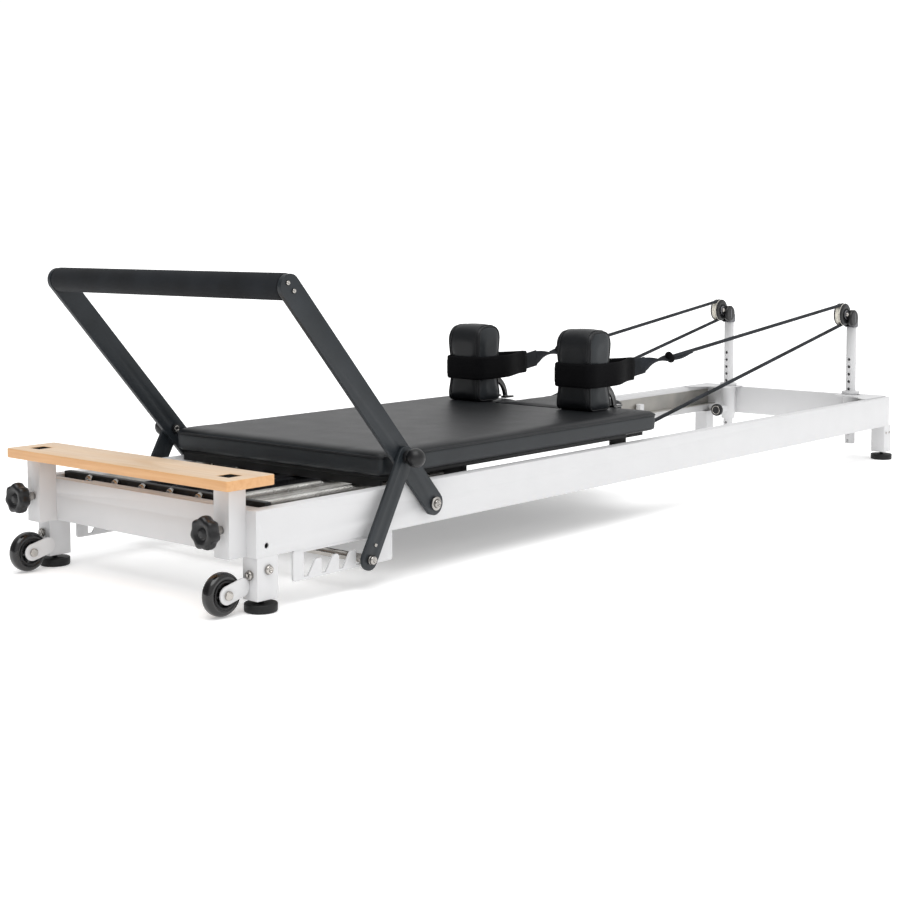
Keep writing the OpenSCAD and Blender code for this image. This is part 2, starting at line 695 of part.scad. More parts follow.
side_rail_right();
side_rail_left();
foot_crossbar();
head_crossbar();
head_gussets();
running_tracks();
frame_legs();
levelling_feet();
spring_bar();
spring_hooks();
notch_plates();
pivot_bolts();
wheel_forks();
wheel_axles();
riser_collars();
carriage_stops();
platform_board();
platform_posts();
frame_bolts();
transport_tyre_right();
transport_tyre_left();
transport_hub_right();
transport_hub_left();
platform_knob_right();
platform_knob_left();
footbar_arm_right();
footbar_arm_left();
footbar_tube();
footbar_grip();
footbar_screws();
strut_right();
strut_left();
strut_cross_rod();
strut_knobs();
riser_tube_right();
riser_tube_left();
riser_pin_right();
riser_pin_left();
pulley_block_right();
pulley_block_left();
pulley_sheave_right();
pulley_sheave_left();
carriage_frame();
carriage_pad();
carriage_axles();
shoulder_brackets();
shoulder_pad_right();
shoulder_pad_left();
strap_cuff_right();
strap_cuff_left();
rope_right();
rope_left();
tension_springs();
carriage_wheel_foot_right();
carriage_wheel_foot_left();
carriage_wheel_head_right();
carriage_wheel_head_left();
headrest_pad();
headrest_board();
headrest_hinge();
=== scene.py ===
"""Finish model of a folding-footbar reformer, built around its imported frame."""

import json
import logging
import math
from dataclasses import dataclass, field
from enum import Enum
from typing import Callable, Iterable, Sequence

import bmesh
import bpy
from bpy.types import Material, Mesh, Node, NodeSocket, NodeTree, Object
from mathutils import Euler, Matrix, Vector
from mathutils.bvhtree import BVHTree

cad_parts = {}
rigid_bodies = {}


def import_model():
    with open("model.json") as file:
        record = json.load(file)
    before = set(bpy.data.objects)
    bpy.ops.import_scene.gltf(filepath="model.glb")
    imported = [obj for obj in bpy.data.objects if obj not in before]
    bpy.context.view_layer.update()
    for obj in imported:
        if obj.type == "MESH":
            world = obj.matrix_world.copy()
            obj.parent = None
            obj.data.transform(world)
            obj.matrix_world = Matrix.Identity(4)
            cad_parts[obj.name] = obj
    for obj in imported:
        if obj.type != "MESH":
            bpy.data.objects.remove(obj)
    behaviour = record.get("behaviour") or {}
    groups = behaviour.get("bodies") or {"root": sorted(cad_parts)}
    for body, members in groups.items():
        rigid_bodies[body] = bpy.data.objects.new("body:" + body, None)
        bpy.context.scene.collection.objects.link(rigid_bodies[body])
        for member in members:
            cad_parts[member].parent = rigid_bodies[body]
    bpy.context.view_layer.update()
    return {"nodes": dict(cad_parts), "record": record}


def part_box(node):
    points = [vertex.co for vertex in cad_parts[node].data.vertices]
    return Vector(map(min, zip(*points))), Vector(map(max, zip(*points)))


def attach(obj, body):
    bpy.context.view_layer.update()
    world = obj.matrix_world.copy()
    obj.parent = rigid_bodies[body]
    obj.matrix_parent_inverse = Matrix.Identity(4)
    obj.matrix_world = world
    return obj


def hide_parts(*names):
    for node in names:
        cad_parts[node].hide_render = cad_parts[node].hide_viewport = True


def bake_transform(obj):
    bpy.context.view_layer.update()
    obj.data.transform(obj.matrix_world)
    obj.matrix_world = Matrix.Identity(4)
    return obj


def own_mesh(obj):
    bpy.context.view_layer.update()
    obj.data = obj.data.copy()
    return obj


MM = 0.001
SIDES = {"right": -1, "left": 1}
CLOTH_FRAMES = 18
log = logging.getLogger("reformer")

Pair = tuple[float, float]


class Axis(Enum):
    """A turning axis, as the rotation that brings +Z onto it."""

    X = (0.0, math.pi / 2, 0.0)
    Y = (-math.pi / 2, 0.0, 0.0)
    Z = (0.0, 0.0, 0.0)

    def matrix(self) -> Matrix:
        """Rotation from +Z to the axis."""
        return Euler(self.value).to_matrix().to_4x4()


def mm(*pairs: Pair) -> list[Pair]:
    """Pairs given in millimetres, in metres."""
    return [(a * MM, b * MM) for a, b in pairs]


def linear(colour: str) -> tuple[float, float, float, float]:
    """Turn six sRGB hex digits into linear red, green, blue and full alpha."""
    parts = [int(colour[i : i + 2], 16) / 255 for i in (0, 2, 4)]
    red, green, blue = (c / 12.92 if c <= 0.04045 else ((c + 0.055) / 1.055) ** 2.4 for c in parts)
    return red, green, blue, 1.0


def add(tree: NodeTree, kind: str, links: dict | None = None, **settings) -> Node:
    """Add one node with its settings and links.

    Args:
        tree: The tree that gets the node.
        kind: The node's type name.
        links: Input name or index to a value, or to an output socket to link from.
        settings: Properties of the node.

    Returns:
        The new node.
    """
    made = tree.nodes.new(kind)
    for name, value in settings.items():
        setattr(made, name, value)
    for key, value in (links or {}).items():
        if isinstance(value, NodeSocket):
            tree.links.new(value, made.inputs[key])
        else:
            made.inputs[key].default_value = value
    return made


def fade(tree: NodeTree, share: NodeSocket, *stops: tuple[float, str]) -> NodeSocket:
    """Fade between two colours, each given with its place on the ramp."""
    ramp = add(tree, "ShaderNodeValToRGB", {"Fac": share})
    for element, (place, colour) in zip(ramp.color_ramp.elements, stops):
        element.position = place
        element.color = linear(colour)
    return ramp.outputs["Color"]


# --------------------------------------------------------------------------- finishes


@dataclass(frozen=True)
class Grain:
    """One layer of surface relief."""

    size: float
    height: float
    kind: str = "noise"


@dataclass(frozen=True)
class Finish:
    """A finish: its colours, its gloss and its relief at a real size in metres."""

    name: str
    colour: str
    second: str
    roughness: float
    metallic: float = 0.0
    grain: Grain = Grain(0.002, 0.0001)
    mottle: float = 0.06
    spread: float = 0.05
    coat: float = 0.0
    ior: float = 1.5
    specular: float = 0.5

    def colour_socket(self, tree: NodeTree, place: NodeSocket) -> NodeSocket:
        """Mottle the two colours over broad patches."""
        broad = add(tree, "ShaderNodeTexNoise", {"Vector": place, "Scale": 1 / self.mottle, "Detail": 4.0})
        return fade(tree, broad.outputs["Fac"], (0.35, self.colour), (0.68, self.second))

    def height_socket(self, tree: NodeTree, place: NodeSocket) -> NodeSocket:
        """Make the relief: noise for coatings, cells for hide."""
        if self.grain.kind == "cells":
            cells = add(tree, "ShaderNodeTexVoronoi", {"Vector": place, "Scale": 1 / self.grain.size},
                        feature="DISTANCE_TO_EDGE")
            return cells.outputs["Distance"]
        noise = add(tree, "ShaderNodeTexNoise", {
            "Vector": place, "Scale": 1 / self.grain.size, "Detail": 3.0,
        })
        return noise.outputs["Fac"]

    def make(self) -> Material:
        """Build the material once and return it afterwards."""
        known = bpy.data.materials.get(self.name)
        if known:
            return known
        material = bpy.data.materials.new(self.name)
        material.use_nodes = True
        tree = material.node_tree
        shader = tree.nodes["Principled BSDF"]
        place = add(tree, "ShaderNodeTexCoord").outputs["Object"]
        tree.links.new(self.colour_socket(tree, place), shader.inputs["Base Color"])
        height = self.height_socket(tree, place)
        worn = add(tree, "ShaderNodeTexNoise", {"Vector": place, "Scale": 18.0, "Detail": 5.0})
        gloss = add(tree, "ShaderNodeMapRange", {
            "Value": worn.outputs["Fac"], "To Min": self.roughness - self.spread,
            "To Max": self.roughness + self.spread,
        })
        tree.links.new(gloss.outputs["Result"], shader.inputs["Roughness"])
        bump = add(tree, "ShaderNodeBump", {"Height": height, "Distance": self.grain.height, "Strength": 0.8})
        tree.links.new(bump.outputs["Normal"], shader.inputs["Normal"])
        for label, value in (("Metallic", self.metallic), ("Coat Weight", self.coat),
                             ("Specular IOR Level", self.specular)):
            shader.inputs[label].default_value = value
        if self.metallic < 0.5:
            shader.inputs["IOR"].default_value = self.ior
        return material


@dataclass(frozen=True)
class Timber(Finish):
    """Beech: short dark flecks in pale straight grain, along the board."""

    def colour_socket(self, tree: NodeTree, place: NodeSocket) -> NodeSocket:
        """Stretch noise along Y into grain and add flecks."""
        along = add(tree, "ShaderNodeMapping", {"Vector": place, "Scale": (1.0, 0.06, 1.0)})
        grain = add(
            tree, "ShaderNodeTexNoise",
            {"Vector": along.outputs["Vector"], "Scale": 140.0, "Detail": 6.0, "Distortion": 0.6},
        )
        wood = fade(tree, grain.outputs["Fac"], (0.3, self.second), (0.72, self.colour))
        flecks = add(tree, "ShaderNodeMapping", {"Vector": place, "Scale": (1.0, 0.16, 1.0)})
        spots = add(tree, "ShaderNodeTexVoronoi", {"Vector": flecks.outputs["Vector"], "Scale": 330.0})
        mask = add(tree, "ShaderNodeMapRange", {"Value": spots.outputs["Distance"], "From Max": 0.18,
                                                "To Min": 0.22, "To Max": 0.0})
        mix = add(tree, "ShaderNodeMix", data_type="RGBA")
        tree.links.new(mask.outputs["Result"], mix.inputs[0])
        tree.links.new(wood, mix.inputs[6])
        mix.inputs[7].default_value = linear("B98557")
        # Faces that do not face up, the sides and the underside, are multiplied darker and warmer than the
        # top.
        facing = add(tree, "ShaderNodeNewGeometry")
        upward = add(tree, "ShaderNodeSeparateXYZ", {0: facing.outputs["Normal"]})
        not_facing_up = add(tree, "ShaderNodeMapRange", {"Value": upward.outputs[2], "From Min": 0.4, "From Max": 0.8,
                                                "To Min": 0.75, "To Max": 0.0})
        edge = add(tree, "ShaderNodeMix", data_type="RGBA", blend_type="MULTIPLY")
        tree.links.new(not_facing_up.outputs["Result"], edge.inputs[0])
        tree.links.new(mix.outputs[2], edge.inputs[6])
        edge.inputs[7].default_value = linear("FFDCAE")
        return edge.outputs[2]


@dataclass(frozen=True)
class Weave(Finish):
    """Webbing or braid: crossed ribs at the thread's spacing."""

    def height_socket(self, tree: NodeTree, place: NodeSocket) -> NodeSocket:
        """Cross two bands."""
        ribs = []
        for direction in ("X", "Z"):
            wave = add(tree, "ShaderNodeTexWave", {
                "Vector": place, "Scale": 0.16 / self.grain.size, "Distortion": 0.4,
            }, bands_direction=direction)
            ribs.append(wave.outputs["Fac"])
        product = add(tree, "ShaderNodeMath", {0: ribs[0], 1: ribs[1]}, operation="MULTIPLY")
        return product.outputs["Value"]


# Polyester powder: thick, softly rippled, half gloss.
WHITE_COAT = Finish("white_powder_coated_steel", "D5D5D6", "D3D3D4", 0.4,
                    grain=Grain(0.0022, 0.00005), specular=0.4)
SLATE_COAT = Finish("slate_powder_coated_steel", "1B2024", "22272C", 0.45,
                    grain=Grain(0.0012, 0.00014), specular=0.4)
BLACK_COAT = Finish("black_powder_coated_steel", "0B0C0D", "101113", 0.5,
                    grain=Grain(0.0014, 0.0001), specular=0.3)
# Plated screws and shafts: a bright mirror with faint turning marks.
CHROME = Finish("bright_zinc_plated_steel", "B9B5B0", "A5A29E", 0.16, 1.0, Grain(0.0006, 0.00002))
SPRING_WIRE = Finish("drawn_spring_wire", "D0CFCC", "B4B2AE", 0.26, 1.0, Grain(0.0005, 0.00003))
GREY_STEEL = Finish("stamped_grey_steel", "77777B", "66676B", 0.36, 1.0, Grain(0.0009, 0.00004))
# Spring wire darkened: painted shade for the springs that lie deep under the pad.
SHADED_SPRING_WIRE = Finish("blackened_spring_wire", "2A2A2C", "202022", 0.3, 1.0, Grain(0.0005, 0.00003))
TRACK = Finish("anodised_aluminium", "B9B6B0", "A8A6A2", 0.38, 1.0, Grain(0.001, 0.00002))
SOCKET = Finish("socket_plug", "020202", "030303", 0.9, grain=Grain(0.0009, 0.00008), specular=0.05)
RUBBER = Finish("moulded_rubber", "0D0E0F", "141516", 0.55, grain=Grain(0.0009, 0.00008), specular=0.35)
# Oven enamel, flowed smooth and glossy.
GLOSS_BLACK = Finish("gloss_black_enamel", "060607", "0A0A0B", 0.16, grain=Grain(0.002, 0.00003), coat=0.5)
# Cast polyurethane: hard, black and nearly polished.
TYRE = Finish("polyurethane_tyre", "060607", "0B0B0D", 0.2, grain=Grain(0.0015, 0.00003), coat=0.3)
NYLON = Finish("cream_nylon", "E6E2D8", "DAD5C8", 0.4, grain=Grain(0.0018, 0.00004), ior=1.53)
PLASTIC = Finish("black_moulded_nylon", "0A0A0C", "111114", 0.38, grain=Grain(0.0008, 0.00007),
                 ior=1.53, specular=0.4)
FOAM = Finish("closed_cell_foam", "15171A", "1D2024", 0.8, grain=Grain(0.0011, 0.0003), specular=0.25)
# Calendered upholstery vinyl: fine hide-like cells and a soft broad highlight.
VINYL = Finish("upholstery_vinyl", "101215", "17191C", 0.42,
               grain=Grain(0.0016, 0.00024, "cells"), specular=0.35)
# The same vinyl made lighter: painted light for the side faces of the pads.
LIT_SIDE_VINYL = Finish("side_panel_vinyl", "191D21", "1E2327", 0.46, grain=Grain(0.0016, 0.00024, "cells"),
                     specular=0.4)
THREAD = Finish("bonded_nylon_thread", "0B0C0E", "16181A", 0.6, specular=0.3)
BEECH = Timber("lacquered_beech", "DDC1A0", "D2AF88", 0.42, grain=Grain(0.0012, 0.00005), coat=0.12)
# Brushed velour over foam: swallows the light.
VELOUR = Finish("brushed_velour", "08080A", "0C0C0E", 0.95, grain=Grain(0.0014, 0.0003), specular=0.12)
WEBBING = Weave("polyester_webbing", "15181B", "20242A", 0.8, grain=Grain(0.0016, 0.0005), specular=0.25)
BRAID = Weave("braided_polyester_cord", "16191D", "262A30", 0.7, grain=Grain(0.0026, 0.0008), specular=0.3)
RED_TAG = Finish("red_vinyl_sleeve", "B4232B", "9E1E26", 0.45)
TEAL_TAG = Finish("teal_vinyl_sleeve", "1F8A84", "1A7670", 0.45)
FLOOR = Finish("studio_floor", "FAFAFA", "F8F8F8", 0.9, grain=Grain(0.02, 0.00001), specular=0.0)


# --------------------------------------------------------------------------- mesh making


def object_of(mesh: Mesh, name: str, finish: Finish | None = None) -> Object:
    """Wrap a mesh in an object at the origin, smooth shaded and dressed."""
    made = bpy.data.objects.new(name, mesh)
    bpy.context.collection.objects.link(made)
    if finish:
        mesh.materials.clear()
        mesh.materials.append(finish.make())
    for face in mesh.polygons:
        face.use_smooth = True
    return made


def mesh_from(name: str, points: Sequence, faces: Sequence) -> Mesh:
    """Make a mesh with merged points and outward faces."""
    mesh = bpy.data.meshes.new(name)
    mesh.from_pydata([tuple(p) for p in points], [], [tuple(f) for f in faces])
    bm = bmesh.new()
    bm.from_mesh(mesh)
    bmesh.ops.remove_doubles(bm, verts=bm.verts, dist=1e-6)
    bmesh.ops.recalc_face_normals(bm, faces=bm.faces)
    bm.to_mesh(mesh)
    bm.free()
    return mesh


def bake(piece: Object) -> Object:
    """Turn a piece's live modifiers into a plain mesh."""
    graph = bpy.context.evaluated_depsgraph_get()
    graph.update()
    mesh = bpy.data.meshes.new_from_object(piece.evaluated_get(graph))
    piece.modifiers.clear()
    piece.data = mesh
    return piece


def loft(name: str, rings: Sequence[Sequence], finish: Finish, caps: bool = True) -> Object:
    """Join equal rings of points into a closed skin.

    Args:
        name: The piece's name.
        rings: Rings with the same number of points.
        finish: Its finish.
        caps: Whether the ends are closed.

    Returns:
        The new piece.
    """
    count = len(rings[0])
    points = [p for ring in rings for p in ring]
    faces = [
        (i * count + k, i * count + (k + 1) % count, (i + 1) * count + (k + 1) % count, (i + 1) * count + k)
        for i in range(len(rings) - 1)
        for k in range(count)
    ]
    if caps:
        faces += [tuple(range(count)), tuple((len(rings) - 1) * count + k for k in range(count))]
    return object_of(mesh_from(name, points, faces), name, finish)


def turned(
    name: str, profile: Sequence[Pair], axis: Axis, centre: Sequence[float], finish: Finish,
    segments: int = 64,
) -> Object:
    """Turn a closed outline of (radius, height) pairs about an axis through centre."""
    place = Matrix.Translation(centre) @ axis.matrix()
    count = len(profile)
    points = [
        place @ Vector((r * math.cos(a), r * math.sin(a), h))
        for a in (i * math.tau / segments for i in range(segments))
        for r, h in profile
    ]
    faces = [
        (i * count + k, i * count + (k + 1) % count, ((i + 1) % segments) * count + (k + 1) % count,
         ((i + 1) % segments) * count + k)
        for i in range(segments)
        for k in range(count)
    ]
    return object_of(mesh_from(name, points, faces), name, finish)


def tube(
    name: str, path: Sequence[Vector], radius: float | Callable[[float], float], finish: Finish,
    sides: int = 12, closed: bool = False, flat: float = 1.0, twist: Callable[[float], float] | None = None,
) -> Object:
    """Sweep a round or flat section along a path.

    Args:
        name: The piece's name.
        path: The middle line.
        radius: Half width, or a function of the share along the path.
        finish: Its finish.
        sides: Points round the section.
        closed: Whether the path joins its own start.
        flat: Thickness over width.
        twist: Turn of the section in radians, by the share along the path.

    Returns:
        The swept piece.
    """
    count = len(path)
    rings = []
    side = Vector((0, 1, 0))
    for i, point in enumerate(path):
        after = path[(i + 1) % count] if closed else path[min(i + 1, count - 1)]
        before = path[i - 1] if closed else path[max(i - 1, 0)]
        along = (Vector(after) - Vector(before)).normalized()
        side = side - along * side.dot(along)
        side = side.normalized() if side.length > 1e-4 else along.orthogonal().normalized()
        up = along.cross(side)
        share = i / max(count - 1, 1)
        r = radius(share) if callable(radius) else radius
        turn = twist(share) if twist else 0.0
        wide = side * math.cos(turn) + up * math.sin(turn)
        thin = -side * math.sin(turn) + up * math.cos(turn)
        rings.append([
            Vector(point) + wide * (r * flat * math.cos(a)) + thin * (r * math.sin(a))
            for a in (k * math.tau / sides for k in range(sides))
        ])
    if closed:
        rings.append(rings[0])
    return loft(name, rings, finish, caps=not closed)


def soften(node: str, finish: Finish, width: float, segments: int = 2) -> Object:
    """Copy a CAD node with its edges rounded, to stand for the node.

    Args:
        node: The CAD node.
        finish: Its finish.
        width: The edge radius in metres.
        segments: Facets across the round.

    Returns:
        The dressed piece, with its body's node hidden.
    """
    source = FRAME["nodes"][node]
    mesh = source.data.copy()
    bm = bmesh.new()
    bm.from_mesh(mesh)
    bm.transform(source.matrix_world)
    bmesh.ops.remove_doubles(bm, verts=bm.verts, dist=2e-6)
    bmesh.ops.dissolve_limit(bm, angle_limit=math.radians(1.0), verts=bm.verts, edges=bm.edges)
    bm.to_mesh(mesh)
    bm.free()
    piece = object_of(mesh, f"{node}_body", finish)
    bevel = piece.modifiers.new("round", "BEVEL")
    bevel.width = width
    bevel.segments = segments
    bevel.limit_method = "ANGLE"
    bevel.angle_limit = math.radians(40)
    bevel.use_clamp_overlap = True
    bevel.harden_normals = True
    bake(piece)
    return finish_piece(piece, BODY_OF[node], SLOT_OF[node], node)


def finish_piece(piece: Object, body: str, slot: str, *nodes: str) -> Object:
    """Ride a piece on its body and hide what it replaces."""
    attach(piece, body)
    if nodes:
        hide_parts(*nodes)
    log.info("%s rides on %s", piece.name, body)
    return piece


def join(pieces: Sequence[Object], name: str) -> Object:
    """Join pieces into one that keeps each one's material."""
    for other in bpy.context.view_layer.objects:
        other.select_set(False)
    for piece in pieces:
        piece.select_set(True)
    bpy.context.view_layer.objects.active = pieces[0]
    bpy.ops.object.join()
    pieces[0].name = name
    return pieces[0]


def cling(points: Iterable[Vector], piece: Object, lift: float = 0.0) -> list[Vector]:
    """Move points onto a piece's surface.

    Args:
        points: Points near the surface.
        piece: The piece they lie on.
        lift: Height above the surface.

    Returns:
        The moved points.
    """
    mesh = piece.data
    tree = BVHTree.FromPolygons([v.co for v in mesh.vertices], [p.vertices for p in mesh.polygons])
    moved = []
    for point in points:
        spot, normal, _, _ = tree.find_nearest(point)
        moved.append(spot + normal * lift)
    return moved


def middle_of(node: str) -> Vector:
    """The middle of a CAD node's box."""
    low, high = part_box(node)
    return (low + high) / 2


def side_y(box: Sequence[Vector], sign: float) -> float:
    """Y of a box's left face when sign is positive, and of its right face otherwise."""
    return box[1].y if sign > 0 else box[0].y


def corner(x: float, y: float, r: float, start: float, steps: int = 8) -> list[Pair]:
    """Points of a quarter round about (x, y), from the start angle in degrees."""
    angles = [math.radians(start + i * 90 / steps) for i in range(steps + 1)]
    return [(x + r * math.cos(a), y + r * math.sin(a)) for a in angles]


def rounded_outline(x0: float, x1: float, y0: float, y1: float, r: float) -> list[Pair]:
    """A rectangle with round corners, anticlockwise."""
    corners = ((x0 + r, y0 + r, 180), (x1 - r, y0 + r, 270), (x1 - r, y1 - r, 0), (x0 + r, y1 - r, 90))
    return [point for x, y, start in corners for point in corner(x, y, r, start, 6)]


def plate(
    name: str, loops: Sequence[Sequence[Pair]], thick: float, finish: Finish, axis: Axis, at: float,
) -> Object:
    """Cut a flat plate with eased edges from an outline and the outlines of its windows.

    Args:
        name: The piece's name.
        loops: The rim first, then each window. Pairs are (x, z) across Y and (x, y) across Z.
        thick: Thickness of the plate.
        finish: Its finish.
        axis: Y or Z, the way through the plate.
        at: Place of the plate's middle along that axis.

    Returns:
        The plate.
    """
    curve = bpy.data.curves.new(name, "CURVE")
    curve.dimensions = "2D"
    curve.fill_mode = "BOTH"
    curve.bevel_depth = 0.5 * MM
    curve.bevel_resolution = 1
    curve.extrude = thick / 2 - curve.bevel_depth
    curve.offset = -curve.bevel_depth
    for loop in loops:
        spline = curve.splines.new("POLY")
        spline.points.add(len(loop) - 1)
        for spot, (x, y) in zip(spline.points, loop):
            spot.co = (x, y, 0, 1)
        spline.use_cyclic_u = True
    sketch = bpy.data.objects.new(name, curve)
    bpy.context.collection.objects.link(sketch)
    graph = bpy.context.evaluated_depsgraph_get()
    mesh = bpy.data.meshes.new_from_object(sketch.evaluated_get(graph))
    bpy.data.objects.remove(sketch)
    lay = Matrix.Translation((0, at, 0)) @ Matrix.Rotation(math.pi / 2, 4, "X")
    mesh.transform(lay if axis is Axis.Y else Matrix.Translation((0, 0, at)))
    made = object_of(mesh, name, finish)
    mesh.shade_flat()
    return made


def inflate(piece: Object, voxel: float, pressure: float, cap: float) -> None:
    """Stuff a pad by cloth simulation, and keep every point within cap of where it started.

    Args:
        piece: A closed pad, cut slightly small.
        voxel: Remesh size in metres.
        pressure: Cloth pressure.
        cap: The furthest that a point may move.
    """
    remesh = piece.modifiers.new("remesh", "REMESH")
    remesh.mode = "VOXEL"
    remesh.voxel_size = voxel
    bake(piece)
    rest = [v.co.copy() for v in piece.data.vertices]
    cloth = piece.modifiers.new("stuffing", "CLOTH")
    cloth.settings.use_pressure = True
    cloth.settings.uniform_pressure_force = pressure
    cloth.settings.tension_stiffness = 12
    cloth.settings.compression_stiffness = 12
    cloth.settings.effector_weights.gravity = 0
    cloth.point_cache.frame_end = CLOTH_FRAMES
    for frame in range(1, CLOTH_FRAMES + 1):
        bpy.context.scene.frame_set(frame)
    bake(piece)
    bpy.context.scene.frame_set(1)
    for vertex, start in zip(piece.data.vertices, rest):
        shift = vertex.co - start
        if shift.length > cap:
            vertex.co = start + shift * (cap / shift.length)
    ease = piece.modifiers.new("ease", "SMOOTH")
    ease.factor = 0.5
    ease.iterations = 6
    bake(piece)
    for face in piece.data.polygons:
        face.use_smooth = True


# --------------------------------------------------------------------------- Geometry Nodes


@dataclass
class NodeTool:
    """A Geometry Nodes tree with named inputs, run once and turned into a plain mesh."""

    name: str
    inputs: dict[str, tuple[str, float]]
    tree: NodeTree = field(init=False)

    def __post_init__(self) -> None:
        """Open the tree and declare its sockets."""
        self.tree = bpy.data.node_groups.new(self.name, "GeometryNodeTree")
        face = self.tree.interface
        face.new_socket("Geometry", in_out="INPUT", socket_type="NodeSocketGeometry")
        for label, (kind, value) in self.inputs.items():
            socket = face.new_socket(label, in_out="INPUT", socket_type=kind)
            socket.default_value = value
        face.new_socket("Geometry", in_out="OUTPUT", socket_type="NodeSocketGeometry")
        self.start = self.tree.nodes.new("NodeGroupInput")
        self.end = self.tree.nodes.new("NodeGroupOutput")

    def close(self, last: NodeSocket, finish: Finish) -> None:
        """End the tree in Realize Instances and Set Material."""
        real = add(self.tree, "GeometryNodeRealizeInstances", {"Geometry": last})
        dressed = add(self.tree, "GeometryNodeSetMaterial", {"Geometry": real.outputs[0]})
        dressed.inputs["Material"].default_value = finish.make()
        self.tree.links.new(dressed.outputs[0], self.end.inputs[0])

    def run(self, base: Mesh, name: str, values: dict[str, float]) -> Object:
        """Run the tree on a mesh.

        Args:
            base: The mesh that the tree starts from.
            name: The new piece's name.
            values: Input label to value.

        Returns:
            The piece as a plain mesh.
        """
        piece = bpy.data.objects.new(name, base)
        bpy.context.collection.objects.link(piece)
        modifier = piece.modifiers.new(self.name, "NODES")
        modifier.node_group = self.tree
        for item in self.tree.interface.items_tree:
            if item.in_out == "INPUT" and item.name in values:
                modifier[item.identifier] = values[item.name]
        bake(piece)
        for face in piece.data.polygons:
            face.use_smooth = True
        return piece


def points_mesh(name: str, points: Sequence[Sequence[float]], edges: Sequence[tuple[int, int]] = ()) -> Mesh:
    """A mesh of loose points or of one line."""
    mesh = bpy.data.meshes.new(name)
    mesh.from_pydata([tuple(p) for p in points], list(edges), [])
    return mesh


def coil_tool(finish: Finish) -> NodeTool:
    """Tree for a close-wound spring along +X from each point of its base."""
    tool = NodeTool("wound_coil", {
        "Turns": ("NodeSocketFloat", 60.0), "Radius": ("NodeSocketFloat", 0.008),
        "Length": ("NodeSocketFloat", 0.5), "Wire": ("NodeSocketFloat", 0.0012),
    })
    tree, start = tool.tree, tool.start
    spiral = add(tree, "GeometryNodeCurveSpiral", {
        "Resolution": 14, "Rotations": start.outputs["Turns"], "Start Radius": start.outputs["Radius"],
        "End Radius": start.outputs["Radius"], "Height": start.outputs["Length"],
    })
    laid = add(tree, "GeometryNodeTransform", {"Geometry": spiral.outputs[0], "Rotation": Axis.X.value})
    section = add(tree, "GeometryNodeCurvePrimitiveCircle", {
        "Resolution": 6, "Radius": start.outputs["Wire"],
    })
    wire = add(tree, "GeometryNodeCurveToMesh", {
        "Curve": laid.outputs[0], "Profile Curve": section.outputs[0],
    })
    wire.inputs["Fill Caps"].default_value = True
    spread = add(tree, "GeometryNodeInstanceOnPoints", {
        "Points": start.outputs["Geometry"], "Instance": wire.outputs[0],
    })
    tool.close(spread.outputs[0], finish)
    return tool


def screw_tool(finish: Finish, axis: Axis, sign: float) -> NodeTool:
    """Tree for button-head screws with a hexagon socket, on each point of its base."""
    tool = NodeTool(f"screw_{axis.name}_{'plus' if sign > 0 else 'minus'}_{finish.name}", {
        "Radius": ("NodeSocketFloat", 0.005), "Height": ("NodeSocketFloat", 0.003),
    })
    tree, start = tool.tree, tool.start
    head = add(tree, "GeometryNodeMeshCone", {
        "Vertices": 24, "Radius Top": start.outputs["Radius"], "Radius Bottom": start.outputs["Radius"],
        "Depth": start.outputs["Height"], "Side Segments": 1,
    })
    small = add(tree, "ShaderNodeMath", {0: start.outputs["Radius"], 1: 0.72}, operation="MULTIPLY")
    tree.links.new(small.outputs[0], head.inputs["Radius Top"])
    bore = add(tree, "ShaderNodeMath", {0: start.outputs["Radius"], 1: 0.42}, operation="MULTIPLY")
    hexagon = add(tree, "GeometryNodeMeshCylinder", {"Vertices": 6, "Radius": bore.outputs[0], "Depth": 1.0})
    tree.links.new(start.outputs["Height"], hexagon.inputs["Depth"])
    up = add(tree, "ShaderNodeCombineXYZ", {"Z": start.outputs["Height"]})
    lifted = add(tree, "GeometryNodeTransform", {
        "Geometry": hexagon.outputs[0], "Translation": up.outputs[0],
    })
    cut = add(tree, "GeometryNodeMeshBoolean", operation="DIFFERENCE")
    tree.links.new(head.outputs[0], cut.inputs["Mesh 1"])
    tree.links.new(lifted.outputs[0], cut.inputs["Mesh 2"])
    turn = axis.value if sign > 0 else tuple(-v for v in axis.value)
    turned_head = add(tree, "GeometryNodeTransform", {"Geometry": cut.outputs[0], "Rotation": turn})
    spread = add(tree, "GeometryNodeInstanceOnPoints", {
        "Points": start.outputs["Geometry"], "Instance": turned_head.outputs[0],
    })
    tool.close(spread.outputs[0], finish)
    return tool


def screws(axis: Axis, sign: float, spots: Sequence[Sequence[float]], radius: float, height: float) -> Object:
    """Chromed button heads of one size, one on each spot."""
    sizes = {"Radius": radius, "Height": height}
    return screw_tool(CHROME, axis, sign).run(points_mesh("screw_spots", spots), "screws", sizes)


def stitch_tool(finish: Finish) -> NodeTool:
    """Tree for a row of short stitches along its base line."""
    tool = NodeTool("stitch_row", {
        "Spacing": ("NodeSocketFloat", 0.006), "Thread": ("NodeSocketFloat", 0.0006),
    })
    tree, start = tool.tree, tool.start
    line = add(tree, "GeometryNodeMeshToCurve", {"Mesh": start.outputs["Geometry"]})
    even = add(tree, "GeometryNodeResampleCurve", {"Curve": line.outputs[0]}, mode="LENGTH")
    tree.links.new(start.outputs["Spacing"], even.inputs["Length"])
    bead = add(tree, "GeometryNodeMeshUVSphere", {
        "Segments": 6, "Rings": 4, "Radius": start.outputs["Thread"],
    })
    long = add(tree, "GeometryNodeTransform", {"Geometry": bead.outputs[0], "Scale": (1.0, 1.0, 3.6)})
    tangent = add(tree, "GeometryNodeInputTangent")
    aim = add(tree, "FunctionNodeAlignRotationToVector", {"Vector": tangent.outputs[0]}, axis="Z")
    spread = add(tree, "GeometryNodeInstanceOnPoints", {
        "Points": even.outputs[0], "Instance": long.outputs[0], "Rotation": aim.outputs[0],
    })
    tool.close(spread.outputs[0], finish)
    return tool


# --------------------------------------------------------------------------- sub-assemblies


